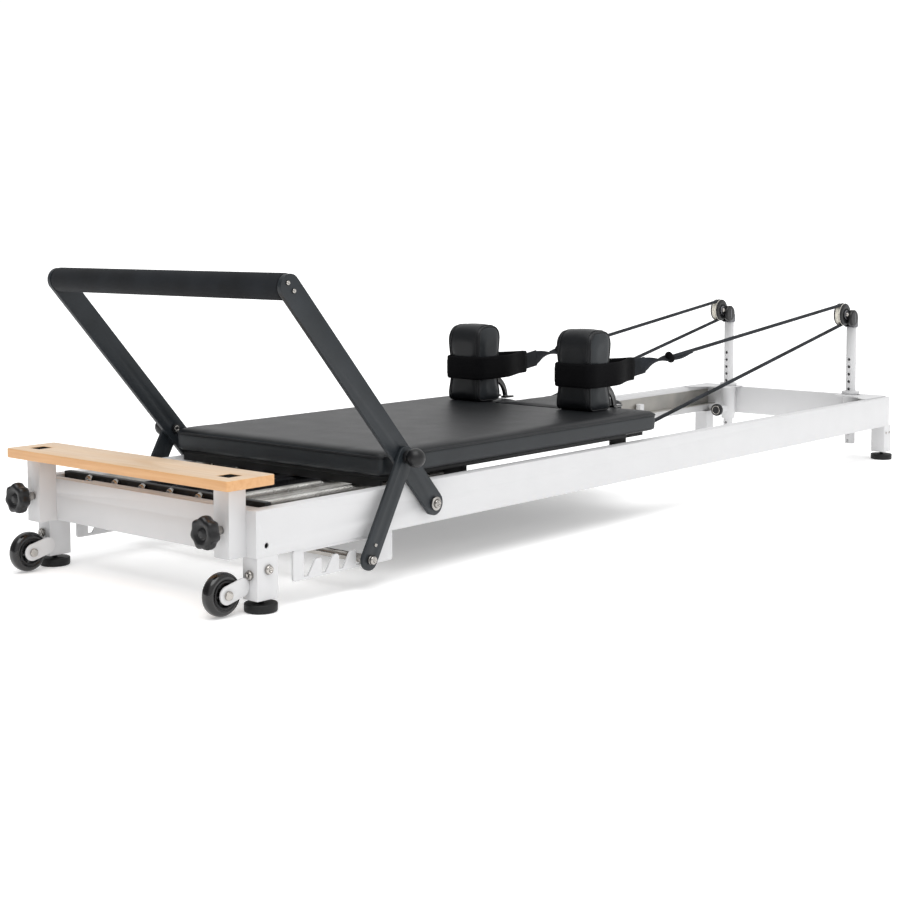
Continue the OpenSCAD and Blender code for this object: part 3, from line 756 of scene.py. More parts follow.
@dataclass
class BedFrame:
    """The welded bed, its legs, feet, tracks and fittings."""

    notch_pitch: float = 43.5 * MM
    notches: int = 4
    tooth_top: float = 74 * MM
    notch_floor: float = 46.5 * MM
    nut_radius: float = 9.5 * MM
    bolt_radius: float = 9 * MM

    def coats(self) -> None:
        """Round and dress the frame's own pieces."""
        coats = {
            "side_rail_right": 5.0, "side_rail_left": 5.0, "foot_crossbar": 2.0, "head_crossbar": 2.0,
            "head_gussets": 0.8, "frame_legs": 3.0, "wheel_forks": 1.0, "riser_collars": 1.0,
            "platform_posts": 2.5,
        }
        for node, radius in coats.items():
            soften(node, WHITE_COAT, radius * MM)
        soften("running_tracks", TRACK, 0.4 * MM)
        soften("spring_bar", BLACK_COAT, 1.5 * MM)
        soften("carriage_stops", WHITE_COAT, 2.0 * MM)
        soften("levelling_feet", RUBBER, 3.0 * MM, segments=3)
        for node in ("spring_hooks", "pivot_bolts", "wheel_axles", "frame_bolts"):
            soften(node, CHROME, 0.6 * MM)
        soften("platform_board", BEECH, 1.6 * MM, segments=3)

    def notch_plates(self) -> None:
        """The two plates whose saw-toothed windows hold the cross rod."""
        low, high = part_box("notch_plates")
        rod = middle_of("strut_cross_rod")
        seat = 8.6 * MM
        first = rod.x - (self.notches - 1) * self.notch_pitch
        window = [(first - seat, high.z - 6 * MM), (first - seat, self.notch_floor)]
        for i in range(self.notches):
            x = first + i * self.notch_pitch
            after = x + self.notch_pitch - seat
            window += [(x + 2.5 * MM, self.notch_floor), (x + 19 * MM, self.tooth_top - 3 * MM),
                       (x + 23 * MM, self.tooth_top)]
            if i < self.notches - 1:
                window += [(after - 3 * MM, self.tooth_top), (after, self.tooth_top - 4 * MM),
                           (after, self.notch_floor)]
        window += [(rod.x + 60 * MM, self.tooth_top), (rod.x + 60 * MM, high.z - 6 * MM)]
        rim = rounded_outline(low.x, high.x, low.z, high.z, 5 * MM)
        thick = 5 * MM
        plates = [
            plate(f"notch_plate_{side}", [rim, window], thick, WHITE_COAT, Axis.Y,
                  side_y((low, high), sign) - sign * thick / 2)
            for side, sign in SIDES.items()
        ]
        finish_piece(join(plates, "notched_plates"), "frame", "white_powder_coat", "notch_plates")

    def slot_caps(self) -> None:
        """Black caps sunk in the tops of the board's two slots."""
        _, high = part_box("platform_board")
        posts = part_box("platform_posts")
        x = (posts[0].x + posts[1].x) / 2
        caps = []
        for side, sign in SIDES.items():
            y = sign * (posts[1].y - 19 * MM)
            rim = rounded_outline(x - 15.8 * MM, x + 15.8 * MM, y - 15.8 * MM, y + 15.8 * MM, 2 * MM)
            caps.append(plate(f"slot_cap_{side}", [rim], 4 * MM, SOCKET, Axis.Z, high.z - 3 * MM))
        finish_piece(join(caps, "slot_caps"), "frame", "black_plastic")

    def heads(self) -> None:
        """Nuts on the spring bar and button heads on the legs and pivots."""
        low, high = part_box("spring_hooks")
        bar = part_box("spring_bar")
        z = high.z - 7 * MM
        gap = (high.y - low.y - 15 * MM) / 5
        spots = [(bar[0].x - 3 * MM, low.y + 7.5 * MM + i * gap, z) for i in range(6)]
        pieces = [screws(Axis.X, -1, spots, self.nut_radius, 7 * MM)]
        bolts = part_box("frame_bolts")
        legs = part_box("frame_legs")
        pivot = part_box("pivot_bolts")
        joint = middle_of("pivot_bolts")
        for sign in SIDES.values():
            side_face = side_y(legs, sign) + sign * 2.6 * MM
            across = [(legs[0].x + 24 * MM, side_face, legs[0].z + 52 * MM),
                      (joint.x, side_y(pivot, sign), joint.z)]
            pieces.append(screws(Axis.Y, sign, across, self.bolt_radius, 5 * MM))
        face = [(bolts[0].x, sign * (legs[1].y - 16 * MM), legs[0].z + 44 * MM) for sign in SIDES.values()]
        pieces.append(screws(Axis.X, -1, face, self.bolt_radius, 4 * MM))
        finish_piece(join(pieces, "button_heads"), "frame", "chrome_steel")

    def build(self) -> None:
        """Build the bed."""
        self.coats()
        self.notch_plates()
        self.slot_caps()
        self.heads()


@dataclass
class Knobs:
    """Lobed clamping knobs, ball knobs and pull-pin knobs."""

    lobes: int = 7
    depth: float = 23 * MM

    def lobed(self, side: str) -> None:
        """A lobed knob: its outline swells and dips round the rim, and its face is dished."""
        low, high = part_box(f"platform_knob_{side}")
        middle = (low + high) / 2
        outer = (high.z - low.z) / 2 + 0.6 * MM
        depth = self.depth
        shares = [(1.0, 0.55), (0.97, 0.84), (0.86, 0.95), (0.6, 1.0), (0.3, 1.0), (0.1, 0.95), (0.02, 0.86),
                  (0.0, 0.72), (0.02, 0.52), (0.16, 0.44), (0.2, 0.30), (0.06, 0.27), (0.04, 0.12)]
        rings = []
        count = self.lobes * 14
        for share, scale in shares:
            ring = []
            wave = 0.06 * min(1.0, max(0.0, (scale - 0.45) / 0.4))
            for k in range(count):
                a = k * math.tau / count
                r = outer * scale * (1 - wave + wave * math.cos(self.lobes * a))
                ring.append(Vector((low.x + share * depth, middle.y + r * math.sin(a),
                                    middle.z + r * math.cos(a))))
            rings.append(ring)
        body = loft(f"lobed_knob_{side}", rings, PLASTIC)
        profile = mm((0, 0), (12, 0), (12, 7), (9, 9), (9, 14), (7, 22.5), (5, 23), (5, 68), (0, 68))
        stud = turned(f"knob_stud_{side}", profile, Axis.X, (low.x + depth, middle.y, middle.z), CHROME)
        node = f"platform_knob_{side}"
        finish_piece(join([body, stud], f"lobed_knob_{side}"), node, "black_plastic", node)

    def pull_pin(self, side: str) -> None:
        """A pull knob with a bright ring and a spring pin."""
        low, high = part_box(f"riser_pin_{side}")
        centre = Vector((low.x, (low.y + high.y) / 2, (low.z + high.z) / 2))
        knob = mm((0, 0.8), (11, 0.2), (15, 0), (18, 2.4), (18, 11), (16, 13.8), (0, 14))
        ring = mm((11, -0.2), (12, -0.7), (13, -0.2), (13, 0.6), (11, 0.9))
        pin = mm((0, 13.5), (12, 13.5), (12, 15.2), (4, 15.6), (4, 55), (2.5, 57), (0, 57))
        turnings = (("knob", knob, PLASTIC), ("ring", ring, CHROME), ("pin", pin, CHROME))
        parts = [turned(f"pull_{name}_{side}", profile, Axis.X, centre, finish)
                 for name, profile, finish in turnings]
        node = f"riser_pin_{side}"
        finish_piece(join(parts, f"pull_pin_{side}"), node, "black_plastic", node)

    def build(self) -> None:
        """Build every knob."""
        for side in SIDES:
            self.lobed(side)
            self.pull_pin(side)
        soften("strut_knobs", PLASTIC, 0.8 * MM)


@dataclass
class TransportWheels:
    """Skate wheels: a crowned tyre on a spoked hub with a bearing."""

    spokes: int = 6

    def build(self) -> None:
        """Build both wheels."""
        for side in SIDES:
            low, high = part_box(f"transport_tyre_{side}")
            centre = (low + high) / 2
            half = (high.y - low.y) / 2
            outer = (high.x - low.x) / 2
            inner = 24.5 * MM
            crown = [(outer - 5.5 * MM * abs(t) ** 3, half * t) for t in (i / 8 - 1 for i in range(17))]
            body = f"transport_wheel_{side}"
            tyre = turned(f"tyre_{side}", [(inner, -half), *crown, (inner, half)], Axis.Y, centre, TYRE, 96)
            finish_piece(tyre, body, "black_rubber", f"transport_tyre_{side}")
            rim = [(20.5 * MM, -half), (24.4 * MM, -half), (24.4 * MM, half), (20.5 * MM, half),
                   (21.5 * MM, 0.0)]
            core = [(5.05 * MM, -half), (10.5 * MM, -half), (11 * MM, -half + MM), (11 * MM, half - MM),
                    (10.5 * MM, half), (5.05 * MM, half)]
            shield = half + 0.3 * MM
            bearing = [(5.3 * MM, -shield), (9.4 * MM, -shield), (9.4 * MM, shield), (5.3 * MM, shield)]
            parts = [
                turned(f"rim_{side}", rim, Axis.Y, centre, PLASTIC, 64),
                turned(f"core_{side}", core, Axis.Y, centre, PLASTIC, 48),
                turned(f"bearing_{side}", bearing, Axis.Y, centre, CHROME, 48),
            ]
            for i in range(self.spokes):
                a = i * math.tau / self.spokes
                out = Vector((math.cos(a), 0, math.sin(a)))
                across = Vector((-math.sin(a), 0, math.cos(a)))
                rings = []
                for r, w in ((10 * MM, 2.6 * MM), (15 * MM, 1.8 * MM), (21.5 * MM, 2.8 * MM)):
                    rings.append([
                        centre + out * r + across * (w * u) + Vector((0, half * 0.72 * v, 0))
                        for u, v in ((-1, -1), (1, -1), (1, 1), (-1, 1))
                    ])
                parts.append(loft(f"spoke_{i}_{side}", rings, PLASTIC))
            finish_piece(join(parts, f"spoked_hub_{side}"), body, "black_plastic", f"transport_hub_{side}")


@dataclass
class Footbar:
    """Arms, padded bar and struts."""

    def build(self) -> None:
        """Dress the arms and struts and make the grip."""
        for node in ("footbar_arm_right", "footbar_arm_left", "strut_right", "strut_left"):
            soften(node, SLATE_COAT, 1.4 * MM, segments=3)
        soften("strut_cross_rod", CHROME, 1.0 * MM)
        soften("footbar_tube", SPRING_WIRE, 0.5 * MM)
        low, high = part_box("footbar_grip")
        radius = (high.x - low.x) / 2
        half = (high.y - low.y) / 2
        ends = [(radius - 3 * MM, 0.0), (radius - 1 * MM, 0.8 * MM), (radius, 3 * MM)]
        profile = [(15.5 * MM, -half)] + [(r, -half + h) for r, h in ends]
        profile += [(r, half - h) for r, h in reversed(ends)] + [(15.5 * MM, half)]
        grip = turned("foam_grip", profile, Axis.Y, (low + high) / 2, FOAM, 72)
        finish_piece(grip, "footbar", "foam_grip", "footbar_grip")
        self.arm_screws()
        self.strut_screws()

    def arm_screws(self) -> None:
        """Two socket screws in line at the top of each arm, and the joint bolt's head on its inner face."""
        low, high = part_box("footbar_screws")
        middle = (low + high) / 2
        joint = middle_of("strut_knobs")
        heads = []
        for side, sign in SIDES.items():
            face = side_y((low, high), sign)
            inner = side_y(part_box(f"footbar_arm_{side}"), -sign)
            spots = [(middle.x + d, face - sign * 0.9 * MM, middle.z - d) for d in (-7 * MM, 7 * MM)]
            heads.append(screws(Axis.Y, sign, spots, 4.6 * MM, 2.6 * MM))
            seat = (joint.x, inner - sign * 3.5 * MM, joint.z)
            heads.append(screws(Axis.Y, -sign, [seat], 8.5 * MM, 3 * MM))
        finish_piece(join(heads, "arm_screws"), "footbar", "chrome_steel", "footbar_screws")

    def strut_screws(self) -> None:
        """A button head on each end of the cross rod and a small screw above it."""
        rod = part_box("strut_cross_rod")
        middle = middle_of("strut_cross_rod")
        joint = middle_of("strut_knobs")
        up = (joint - middle).normalized()
        heads = []
        for side, sign in SIDES.items():
            face = side_y(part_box(f"strut_{side}"), sign)
            small = middle + up * 28 * MM
            heads.append(screws(Axis.Y, sign, [(middle.x, side_y(rod, sign), middle.z)], 9 * MM, 5 * MM))
            heads.append(screws(Axis.Y, sign, [(small.x, face, small.z)], 4 * MM, 2 * MM))
        finish_piece(join(heads, "strut_heads"), "struts", "chrome_steel")


@dataclass
class Upholstery:
    """The carriage pad, headrest and shoulder pads."""

    voxel: float = 7 * MM
    shrink: float = 2.5 * MM
    seam_drop: float = 8 * MM
    edge_round: float = 6 * MM
    # Places across a shoulder pad, from -1 to 1, and how many millimetres its outline steps in there.
    rounding: tuple[Pair, ...] = (
        (-1.0, 7.0), (-0.98, 3.4), (-0.94, 1.2), (-0.86, 0.0), (-0.6, 0.0), (-0.3, 0.0), (0.0, 0.0),
        (0.3, 0.0), (0.6, 0.0), (0.86, 0.0), (0.94, 1.2), (0.98, 3.4), (1.0, 7.0),
    )

    def slab(self, name: str, outline: list[Pair], bottom: float, top: float,
             edge: float | None = None) -> Object:
        """An upright slab with rounded upper and lower edges, which are a cushion's unless edge is given."""
        bm = bmesh.new()
        base = [bm.verts.new((x, y, bottom)) for x, y in outline]
        lid = [bm.verts.new((x, y, top)) for x, y in outline]
        count = len(outline)
        bm.faces.new(list(reversed(base)))
        bm.faces.new(lid)
        for k in range(count):
            n = (k + 1) % count
            bm.faces.new((base[k], base[n], lid[n], lid[k]))
        rims = [e for e in bm.edges if abs(e.verts[0].co.z - e.verts[1].co.z) < 1e-9]
        bmesh.ops.bevel(bm, geom=rims, offset=edge or self.edge_round, segments=4, affect="EDGES",
                        profile=0.5)
        bmesh.ops.recalc_face_normals(bm, faces=bm.faces)
        mesh = bpy.data.meshes.new(name)
        bm.to_mesh(mesh)
        bm.free()
        return object_of(mesh, name, VINYL)

    @staticmethod
    def seam(name: str, pad: Object, outline: list[Pair], z: float) -> Object:
        """A welt along an outline at one height, with a row of stitches under it."""
        dense = spread_points([Vector((x, y, z)) for x, y in outline], 12 * MM, True)
        welt = tube(f"{name}_welt", cling(dense, pad, 0.9 * MM), 1.6 * MM, VINYL, 8, closed=True)
        row = cling([p - Vector((0, 0, 4.5 * MM)) for p in dense], pad, 0.3 * MM)
        edges = [(i, i + 1) for i in range(len(row) - 1)]
        threads = stitch_tool(THREAD).run(points_mesh(f"{name}_row", row, edges), f"{name}_stitches",
                                          {"Spacing": 5.5 * MM, "Thread": 0.55 * MM})
        return join([welt, threads], f"{name}_seam")

    @staticmethod
    def paint_lit_sides(pad: Object, chosen: Callable[[bpy.types.MeshPolygon], bool]) -> None:
        """Give the chosen faces of a pad a lighter copy of the vinyl: painted light on its sides."""
        pad.data.materials.append(LIT_SIDE_VINYL.make())
        for face in pad.data.polygons:
            face.material_index = 1 if chosen(face) else 0

    def shade_board(self, low: Vector, high: Vector) -> Object:
        """A black board across the carriage's foot end, down to the springs: painted shade, a dark sheet that
        stands in for the shade under the pad and hides the springs behind it.
        """
        rim = rounded_outline(low.x + 15 * MM, low.x + 21 * MM, low.y + 18 * MM, high.y - 18 * MM, 2 * MM)
        return plate("carriage_apron", [rim], 21 * MM, BLACK_COAT, Axis.Z, low.z - 10 * MM)

    def carriage_pad(self) -> None:
        """The long pad, with its notch for the headrest."""
        low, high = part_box("carriage_pad")
        head_low, head_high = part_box("headrest_pad")
        notch_x = head_low.x - 2.5 * MM
        notch_y = head_high.y + 1.5 * MM
        r, s = 10 * MM, self.shrink
        x0, x1, y0, y1 = low.x + s, high.x - s, low.y + s, high.y - s
        outline = corner(x0 + r, y0 + r, r, 180) + corner(x1 - r, y0 + r, r, 270)
        wall, edge = notch_x - s, notch_y + s
        outline += [(x1, -edge), (wall, -edge), (wall, edge), (x1, edge)]
        outline += corner(x1 - r, y1 - r, r, 0) + corner(x0 + r, y1 - r, r, 90)
        pad = self.slab("carriage_cushion", outline, low.z + 1.0 * MM, high.z - s * 0.6)
        inflate(pad, self.voxel, 2.5, 3.0 * MM)
        # Painted light: the pad's sides below the seam take the lighter copy of the vinyl.
        self.paint_lit_sides(pad, lambda face: abs(face.normal.z) < 0.6 and face.center.z < high.z - self.seam_drop)
        finish_piece(pad, "carriage", "black_vinyl", "carriage_pad")
        seam = self.seam("carriage_cushion", pad, outline, high.z - self.seam_drop)
        finish_piece(seam, "carriage", "black_vinyl")
        board = self.under_board(low.x + 14 * MM, notch_x - 10 * MM, high.y - 14 * MM, low.z - 1.0 * MM)
        finish_piece(board, "carriage", "black_powder_coat")
        # Painted shade: a dark board blacks out the springs under the pad's foot end.
        finish_piece(self.shade_board(low, high), "carriage", "black_powder_coat")

    def under_board(self, x0: float, x1: float, half: float, top: float) -> Object:
        """A thin black board under the carriage pad."""
        outline = [(x0, -half), (x1, -half), (x1, half), (x0, half)]
        board = self.slab("carriage_underboard", outline, top - 5 * MM, top + 2 * MM, 1.0 * MM)
        board.data.materials[0] = BLACK_COAT.make()
        return board

    def headrest(self) -> None:
        """The hinged head cushion."""
        low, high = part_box("headrest_pad")
        s, r = self.shrink * 0.6, 18 * MM
        x0, x1, y0, y1 = low.x + s, high.x - s, low.y + s, high.y - s
        outline = [(x0, y0), *corner(x1 - r, y0 + r, r, 270), *corner(x1 - r, y1 - r, r, 0), (x0, y1)]
        pad = self.slab("head_cushion", outline, low.z + 1.0 * MM, high.z - s)
        inflate(pad, 5 * MM, 2.5, 3.0 * MM)
        finish_piece(pad, "headrest", "black_vinyl", "headrest_pad")
        seam = self.seam("head_cushion", pad, outline, high.z - self.seam_drop)
        finish_piece(seam, "headrest", "black_vinyl")
        soften("headrest_board", BLACK_COAT, 1.0 * MM)
        soften("headrest_hinge", VINYL, 0.4 * MM)

    def shoulder_outline(self, low: Vector, high: Vector) -> list[Pair]:
        """A shoulder pad from the side: upright, with round upper corners and a slight waist."""
        front, back, foot = 30 * MM, 24 * MM, 12 * MM
        x0, x1, z0, z1 = low.x, high.x, low.z, high.z
        points = []
        corners = ((x0, z0, foot, 180), (x1, z0, foot, 270), (x1, z1, back, 0), (x0, z1, front, 90))
        for x, z, r, start in corners:
            cx = x + r if x == x0 else x - r
            cz = z + r if z == z0 else z - r
            points += corner(cx, cz, r, start, 6)
        dense = spread_points([Vector((x, 0, z)) for x, z in points], 9 * MM, True)
        middle = (x0 + x1) / 2
        return [(middle + (p.x - middle) * self.waist(p.z, z0, z1), p.z) for p in dense]

    @staticmethod
    def waist(z: float, z0: float, z1: float) -> float:
        """How far the strap pulls the pad in at a height."""
        return 1.0 - 0.06 * math.exp(-(((z - z0) / (z1 - z0) - 0.42) / 0.17) ** 2)

    def shoulder(self, side: str) -> None:
        """A shoulder pad: a wrap sewn between two piped side panels."""
        low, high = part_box(f"shoulder_pad_{side}")
        s = 2.5 * MM
        low, high = low + Vector((s, s, 1.0 * MM)), high - Vector((s, s, s))
        outline = self.shoulder_outline(low, high)
        middle = (low + high) / 2
        half = (high.y - low.y) / 2
        rings = []
        for t, inset in self.rounding:
            shrink = 1 - 2 * inset * MM / (high.x - low.x)
            drop = 1 - 2 * inset * MM / (high.z - low.z)
            crown = -9 * MM * t ** 4
            rings.append([
                Vector((middle.x + (x - middle.x) * shrink,
                        middle.y + t * half * self.waist(z, low.z, high.z),
                        middle.z + (z - middle.z) * drop + (crown if z > middle.z else 0.0)))
                for x, z in outline
            ])
        pad = loft(f"shoulder_cushion_{side}", rings, VINYL)
        inflate(pad, 4 * MM, 3.0, 3.0 * MM)
        # Painted light: the pad's two side faces take the lighter copy of the vinyl.
        self.paint_lit_sides(pad, lambda face: abs(face.normal.y) > 0.75)
        finish_piece(pad, "carriage", "black_vinyl", f"shoulder_pad_{side}")
        welts = []
        for sign in SIDES.values():
            for inset, depth, r in ((4.0, 1.5, 2.0), (0.5, 12.0, 1.1)):
                y = middle.y + sign * (half - depth * MM)
                line = [
                    Vector((middle.x + (x - middle.x) * (1 - inset * MM / 40 * 0.9), y,
                            middle.z + (z - middle.z) * (1 - inset * MM / 90)))
                    for x, z in outline
                ]
                welts.append(tube(f"side_piping_{side}_{sign}", cling(line, pad, 0.7 * MM), r * MM, VINYL, 8,
                                  closed=True))
        finish_piece(join(welts, f"shoulder_piping_{side}"), "carriage", "black_vinyl")

    def build(self) -> None:
        """Build every padded piece."""
        self.carriage_pad()
        self.headrest()
        for side in SIDES:
            self.shoulder(side)


def spread_points(points: Sequence[Vector], spacing: float, closed: bool) -> list[Vector]:
    """Walk along straight stretches between points at an even spacing."""
    spots = list(points) + ([points[0]] if closed else [])
    made: list[Vector] = []
    for a, b in zip(spots, spots[1:]):
        steps = max(1, round((Vector(b) - Vector(a)).length / spacing))
        made += [Vector(a).lerp(Vector(b), i / steps) for i in range(steps)]
    return made if closed else made + [Vector(spots[-1])]


@dataclass
class Straps:
    """Padded cuffs round the shoulder pads."""

    wall: float = 7 * MM
    slack: float = 0.6 * MM
    front_round: float = 18 * MM
    tail_half: float = 4.5 * MM

    def section(self, low: float, high: float) -> list[Pair]:
        """The band's closed section: a thin padded strip with two sewn channels."""
        face = []
        for i in range(19):
            t = i / 18
            edge = math.sqrt(max(0.0, 1 - abs(2 * t - 1) ** 6))
            dent = sum(0.9 * MM * math.exp(-((t - c) / 0.035) ** 2) for c in (0.14, 0.86))
            face.append((max(self.wall / 2 * edge - dent, 0.4 * MM), low + (high - low) * t))
        return face + [(-w, z) for w, z in reversed(face)]

    def path(self, side: str) -> list[Vector]:
        """The band's middle line in plan: round the pad and in to the tail."""
        low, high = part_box(f"strap_cuff_{side}")
        pad_low, pad_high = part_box(f"shoulder_pad_{side}")
        y = (low.y + high.y) / 2
        half = (pad_high.y - pad_low.y) / 2 - 3 * MM + self.slack + self.wall / 2
        x0 = pad_low.x + 1 * MM - self.slack - self.wall / 2
        start = pad_high.x + 2 * MM
        tail = high.x - 6 * MM
        r = self.front_round
        front = [Vector((x0 + r - r * math.sin(a), y - half + r - r * math.cos(a), 0))
                 for a in (i * math.pi / 16 for i in range(9))]
        back = [Vector((p.x, 2 * y - p.y, 0)) for p in reversed(front)]
        left = []
        for i in range(15):
            t = i / 14
            ease = t * t * (3 - 2 * t)
            left.append(Vector((start + (tail - start) * t, y + half + (self.tail_half - half) * ease, 0)))
        right = [Vector((p.x, 2 * y - p.y, 0)) for p in reversed(left)]
        return spread_points(front + back + left + right, 9 * MM, True)

    def build(self) -> None:
        """Build both cuffs."""
        for side in SIDES:
            low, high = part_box(f"strap_cuff_{side}")
            path = self.path(side)
            outline = self.section(low.z, high.z)
            rings = []
            for i, point in enumerate(path):
                along = (path[(i + 1) % len(path)] - path[i - 1]).normalized()
                out = Vector((along.y, -along.x, 0))
                rings.append([point + out * w + Vector((0, 0, z)) for w, z in outline])
            rings.append(rings[0])
            cuff = loft(f"cuff_{side}", rings, VELOUR, caps=False)
            finish_piece(cuff, "carriage", "black_webbing", f"strap_cuff_{side}")


@dataclass
class Ropes:
    """Braided ropes from the carriage, round each pulley and back to the cuffs."""

    diameter: float = 9.2 * MM
    path_radius: float = 27.5 * MM
    far_stop: float = 2232 * MM
    near_stop: float = 2292 * MM
    travel: float = 850 * MM
    stub: float = 50 * MM
    twist: float = 104 * MM
    doubled: float = 95 * MM

    def rope(self, name: str, start: Vector, finish: Vector, spacing: float) -> Object:
        """A straight length of braid."""
        return tube(name, spread_points([start, finish], spacing, False), self.diameter / 2, BRAID, 12)

    def build(self) -> None:
        """Build each rope as straight runs, cut in three at two stops, and a turn on the pulley."""
        low_at, high_at = -74, 96
        for side, sign in SIDES.items():
            hub = middle_of(f"pulley_sheave_{side}")
            rope_low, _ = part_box(f"rope_{side}")
            cuff_low, cuff_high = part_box(f"strap_cuff_{side}")
            cleat = Vector((rope_low.x + 2.5 * MM, sign * 191 * MM, rope_low.z + self.diameter / 2))
            cuff = (cuff_low + cuff_high) / 2
            eye = Vector((cuff_high.x - 3 * MM, cuff.y, cuff.z))
            turn = [
                hub + self.path_radius * Vector((math.cos(a), 0, math.sin(a)))
                for a in (math.radians(low_at + i * (high_at - low_at) / 24) for i in range(25))
            ]
            stops = [s - X_MID for s in (self.far_stop, self.near_stop)]
            for run, start, finish in (("lower", cleat, turn[0]), ("upper", eye, turn[-1])):
                cuts = [start.lerp(finish, (x - start.x) / (finish.x - start.x)) for x in stops]
                name = f"rope_{run}_{side}"
                make = self.rope if run == "lower" else self.strap_and_rope
                long_run = make(name, start, cuts[0], 30 * MM)
                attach(long_run, "frame")
                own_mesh(long_run)
                middle = self.rope(f"{name}_middle", cuts[0], cuts[1], 8 * MM)
                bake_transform(middle)
                end = self.rope(f"{name}_end", cuts[1], finish, 5 * MM)
                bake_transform(end)
            wrap = tube(f"rope_turn_{side}", turn, self.diameter / 2, BRAID, 12)
            finish_piece(wrap, f"pulley_block_{side}", "black_webbing", f"rope_{side}")

    def strap_and_rope(self, name: str, start: Vector, finish: Vector, spacing: float) -> Object:
        """The upper run: sewn webbing, a twisted strap, a knot and the rope with its tail doubled back."""
        along = (finish - start).normalized()
        side = Vector((-along.y, along.x, 0)).normalized()
        seam = start + along * self.stub
        knot = seam + along * self.twist
        sewn = spread_points([start - along * 22 * MM, seam], 6 * MM, False)
        stub = tube(f"{name}_stub", sewn, 20 * MM, WEBBING, 16, flat=0.14)
        strap = tube(f"{name}_strap", spread_points([seam - along * 4 * MM, knot], 3 * MM, False),
                     lambda share: (18 - 10 * share) * MM, WEBBING, 16, flat=0.16,
                     twist=lambda share: 2.9 * share ** 1.3)
        tilt = (side * 0.25 + along * 0.8 - Vector((0, 0, 0.55))).normalized()
        bar = [knot + tilt * (20 * MM * t) for t in (i / 6 - 1 for i in range(13))]
        knob = tube(f"{name}_knot", bar,
                    lambda share: 10 * MM * math.sqrt(max(0.03, 1 - (2 * share - 1) ** 4)), VELOUR, 16)
        rope = self.rope(f"{name}_rope", knot, finish, spacing)
        tail = []
        for i in range(13):
            t = i / 12
            sag = (3 + 5 * math.sin(math.pi * min(t * 1.1, 1.0))) * MM
            tail.append(knot + along * (self.doubled * t) - Vector((0, 0, sag)))
        tuck = tube(f"{name}_tuck", tail, self.diameter / 2 * 0.95, BRAID, 12)
        return join([rope, stub, strap, knob, tuck], name)


@dataclass
class Pulleys:
    """Risers, pulley blocks and sheaves."""

    cheek: float = 31.5 * MM
    cap_radius: float = 23 * MM

    def sheave(self, side: str) -> None:
        """A cream sheave: two rims, a round groove and a stepped hub."""
        low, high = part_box(f"pulley_sheave_{side}")
        outer = (high.z - low.z) / 2
        half = (high.y - low.y) / 2
        groove = [(outer - 3.5 * MM - 5.05 * MM * math.cos(a) + 0.8 * MM, 5.05 * MM * math.sin(a))
                  for a in (math.radians(-62 + i * 124 / 12) for i in range(13))]
        profile = [(5.1 * MM, -half), (12 * MM, -half), (13 * MM, -half + 1.2 * MM),
                   (outer - 6 * MM, -half + 1.2 * MM), (outer - 4 * MM, -half),
                   (outer - 0.8 * MM, -half), (outer, -half + 0.8 * MM)]
        mirrored = [(r, -h) for r, h in reversed(profile)]
        wheel = turned(f"sheave_{side}", profile + groove + mirrored, Axis.Y, (low + high) / 2, NYLON, 96)
        finish_piece(wheel, f"pulley_sheave_{side}", "cream_nylon", f"pulley_sheave_{side}")

    def block(self, side: str) -> None:
        """Black cheek discs, a steel bracket bolted through them and a slotted round cap at the swivel."""
        hub = middle_of(f"pulley_sheave_{side}")
        low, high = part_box(f"pulley_sheave_{side}")
        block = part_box(f"pulley_block_{side}")
        riser = middle_of(f"riser_tube_{side}")
        half = (high.y - low.y) / 2
        floor = block[0].z
        parts = []
        for sign in (-1, 1):
            inner = half + 0.9 * MM
            disc = [(5.1 * MM, inner), (self.cheek - 1 * MM, inner), (self.cheek, inner + 1 * MM),
                    (self.cheek - 1.2 * MM, inner + 3 * MM), (22 * MM, inner + 3.8 * MM),
                    (5.1 * MM, inner + 3.8 * MM)]
            cheek = [(r, sign * h) for r, h in disc]
            parts.append(turned(f"cheek_{side}_{sign}", cheek, Axis.Y, hub, PLASTIC, 72))
            arm = inner + 5.3 * MM
            tip = [(hub.x + 13 * MM * math.cos(a), hub.z + 13 * MM * math.sin(a))
                   for a in (math.radians(60 + i * 15) for i in range(15))]
            outline = tip + [(riser.x - 13 * MM, floor + 1 * MM), (riser.x + 11 * MM, floor + 1 * MM),
                             (riser.x + 11 * MM, floor + 22 * MM), (riser.x - 12 * MM, floor + 38 * MM)]
            parts.append(plate(f"bracket_{side}_{sign}", [outline], 2.6 * MM, GREY_STEEL, Axis.Y,
                               hub.y + sign * arm))
            axle_end = (hub.x, hub.y + sign * (arm + 1.2 * MM), hub.z)
            parts.append(screws(Axis.Y, sign, [axle_end], 6.5 * MM, 4 * MM))
        housing = mm((6.1, 1), (12, 1), (12.5, 4), (12.5, 20), (11, 22), (6.1, 22))
        ring = mm((11.5, 0.2), (15, 0.2), (15, 3), (11.5, 3))
        foot = (riser.x, hub.y, floor)
        parts.append(turned(f"housing_{side}", housing, Axis.Z, foot, PLASTIC, 48))
        parts.append(turned(f"swivel_ring_{side}", ring, Axis.Z, foot, GREY_STEEL, 48))
        face = half + 7.6 * MM
        cap = Vector((riser.x - 33 * MM, hub.y - face, floor + 28 * MM))
        wide = self.cap_radius
        profile = [(0.0, 2 * MM), (wide - 2 * MM, 2 * MM), (wide, 0.0), (wide, -9 * MM),
                   (wide - 2 * MM, -11 * MM), (wide - 5 * MM, -11.4 * MM), (0.0, -11.4 * MM)]
        parts.append(turned(f"cap_{side}", profile, Axis.Y, cap, PLASTIC, 72))
        slot = [(cap.x + x, cap.z + z) for x, z in mm((-2, -13), (2, -13), (2, 13), (-2, 13))]
        parts.append(plate(f"cap_slot_{side}", [slot], 2 * MM, GREY_STEEL, Axis.Y, cap.y - 11.2 * MM))
        node = f"pulley_block_{side}"
        finish_piece(join(parts, f"pulley_head_{side}"), node, "black_plastic", node)

    def build(self) -> None:
        """Build the risers, sheaves and blocks."""
        for side in SIDES:
            soften(f"riser_tube_{side}", WHITE_COAT, 0.7 * MM)
            self.sheave(side)
            self.block(side)


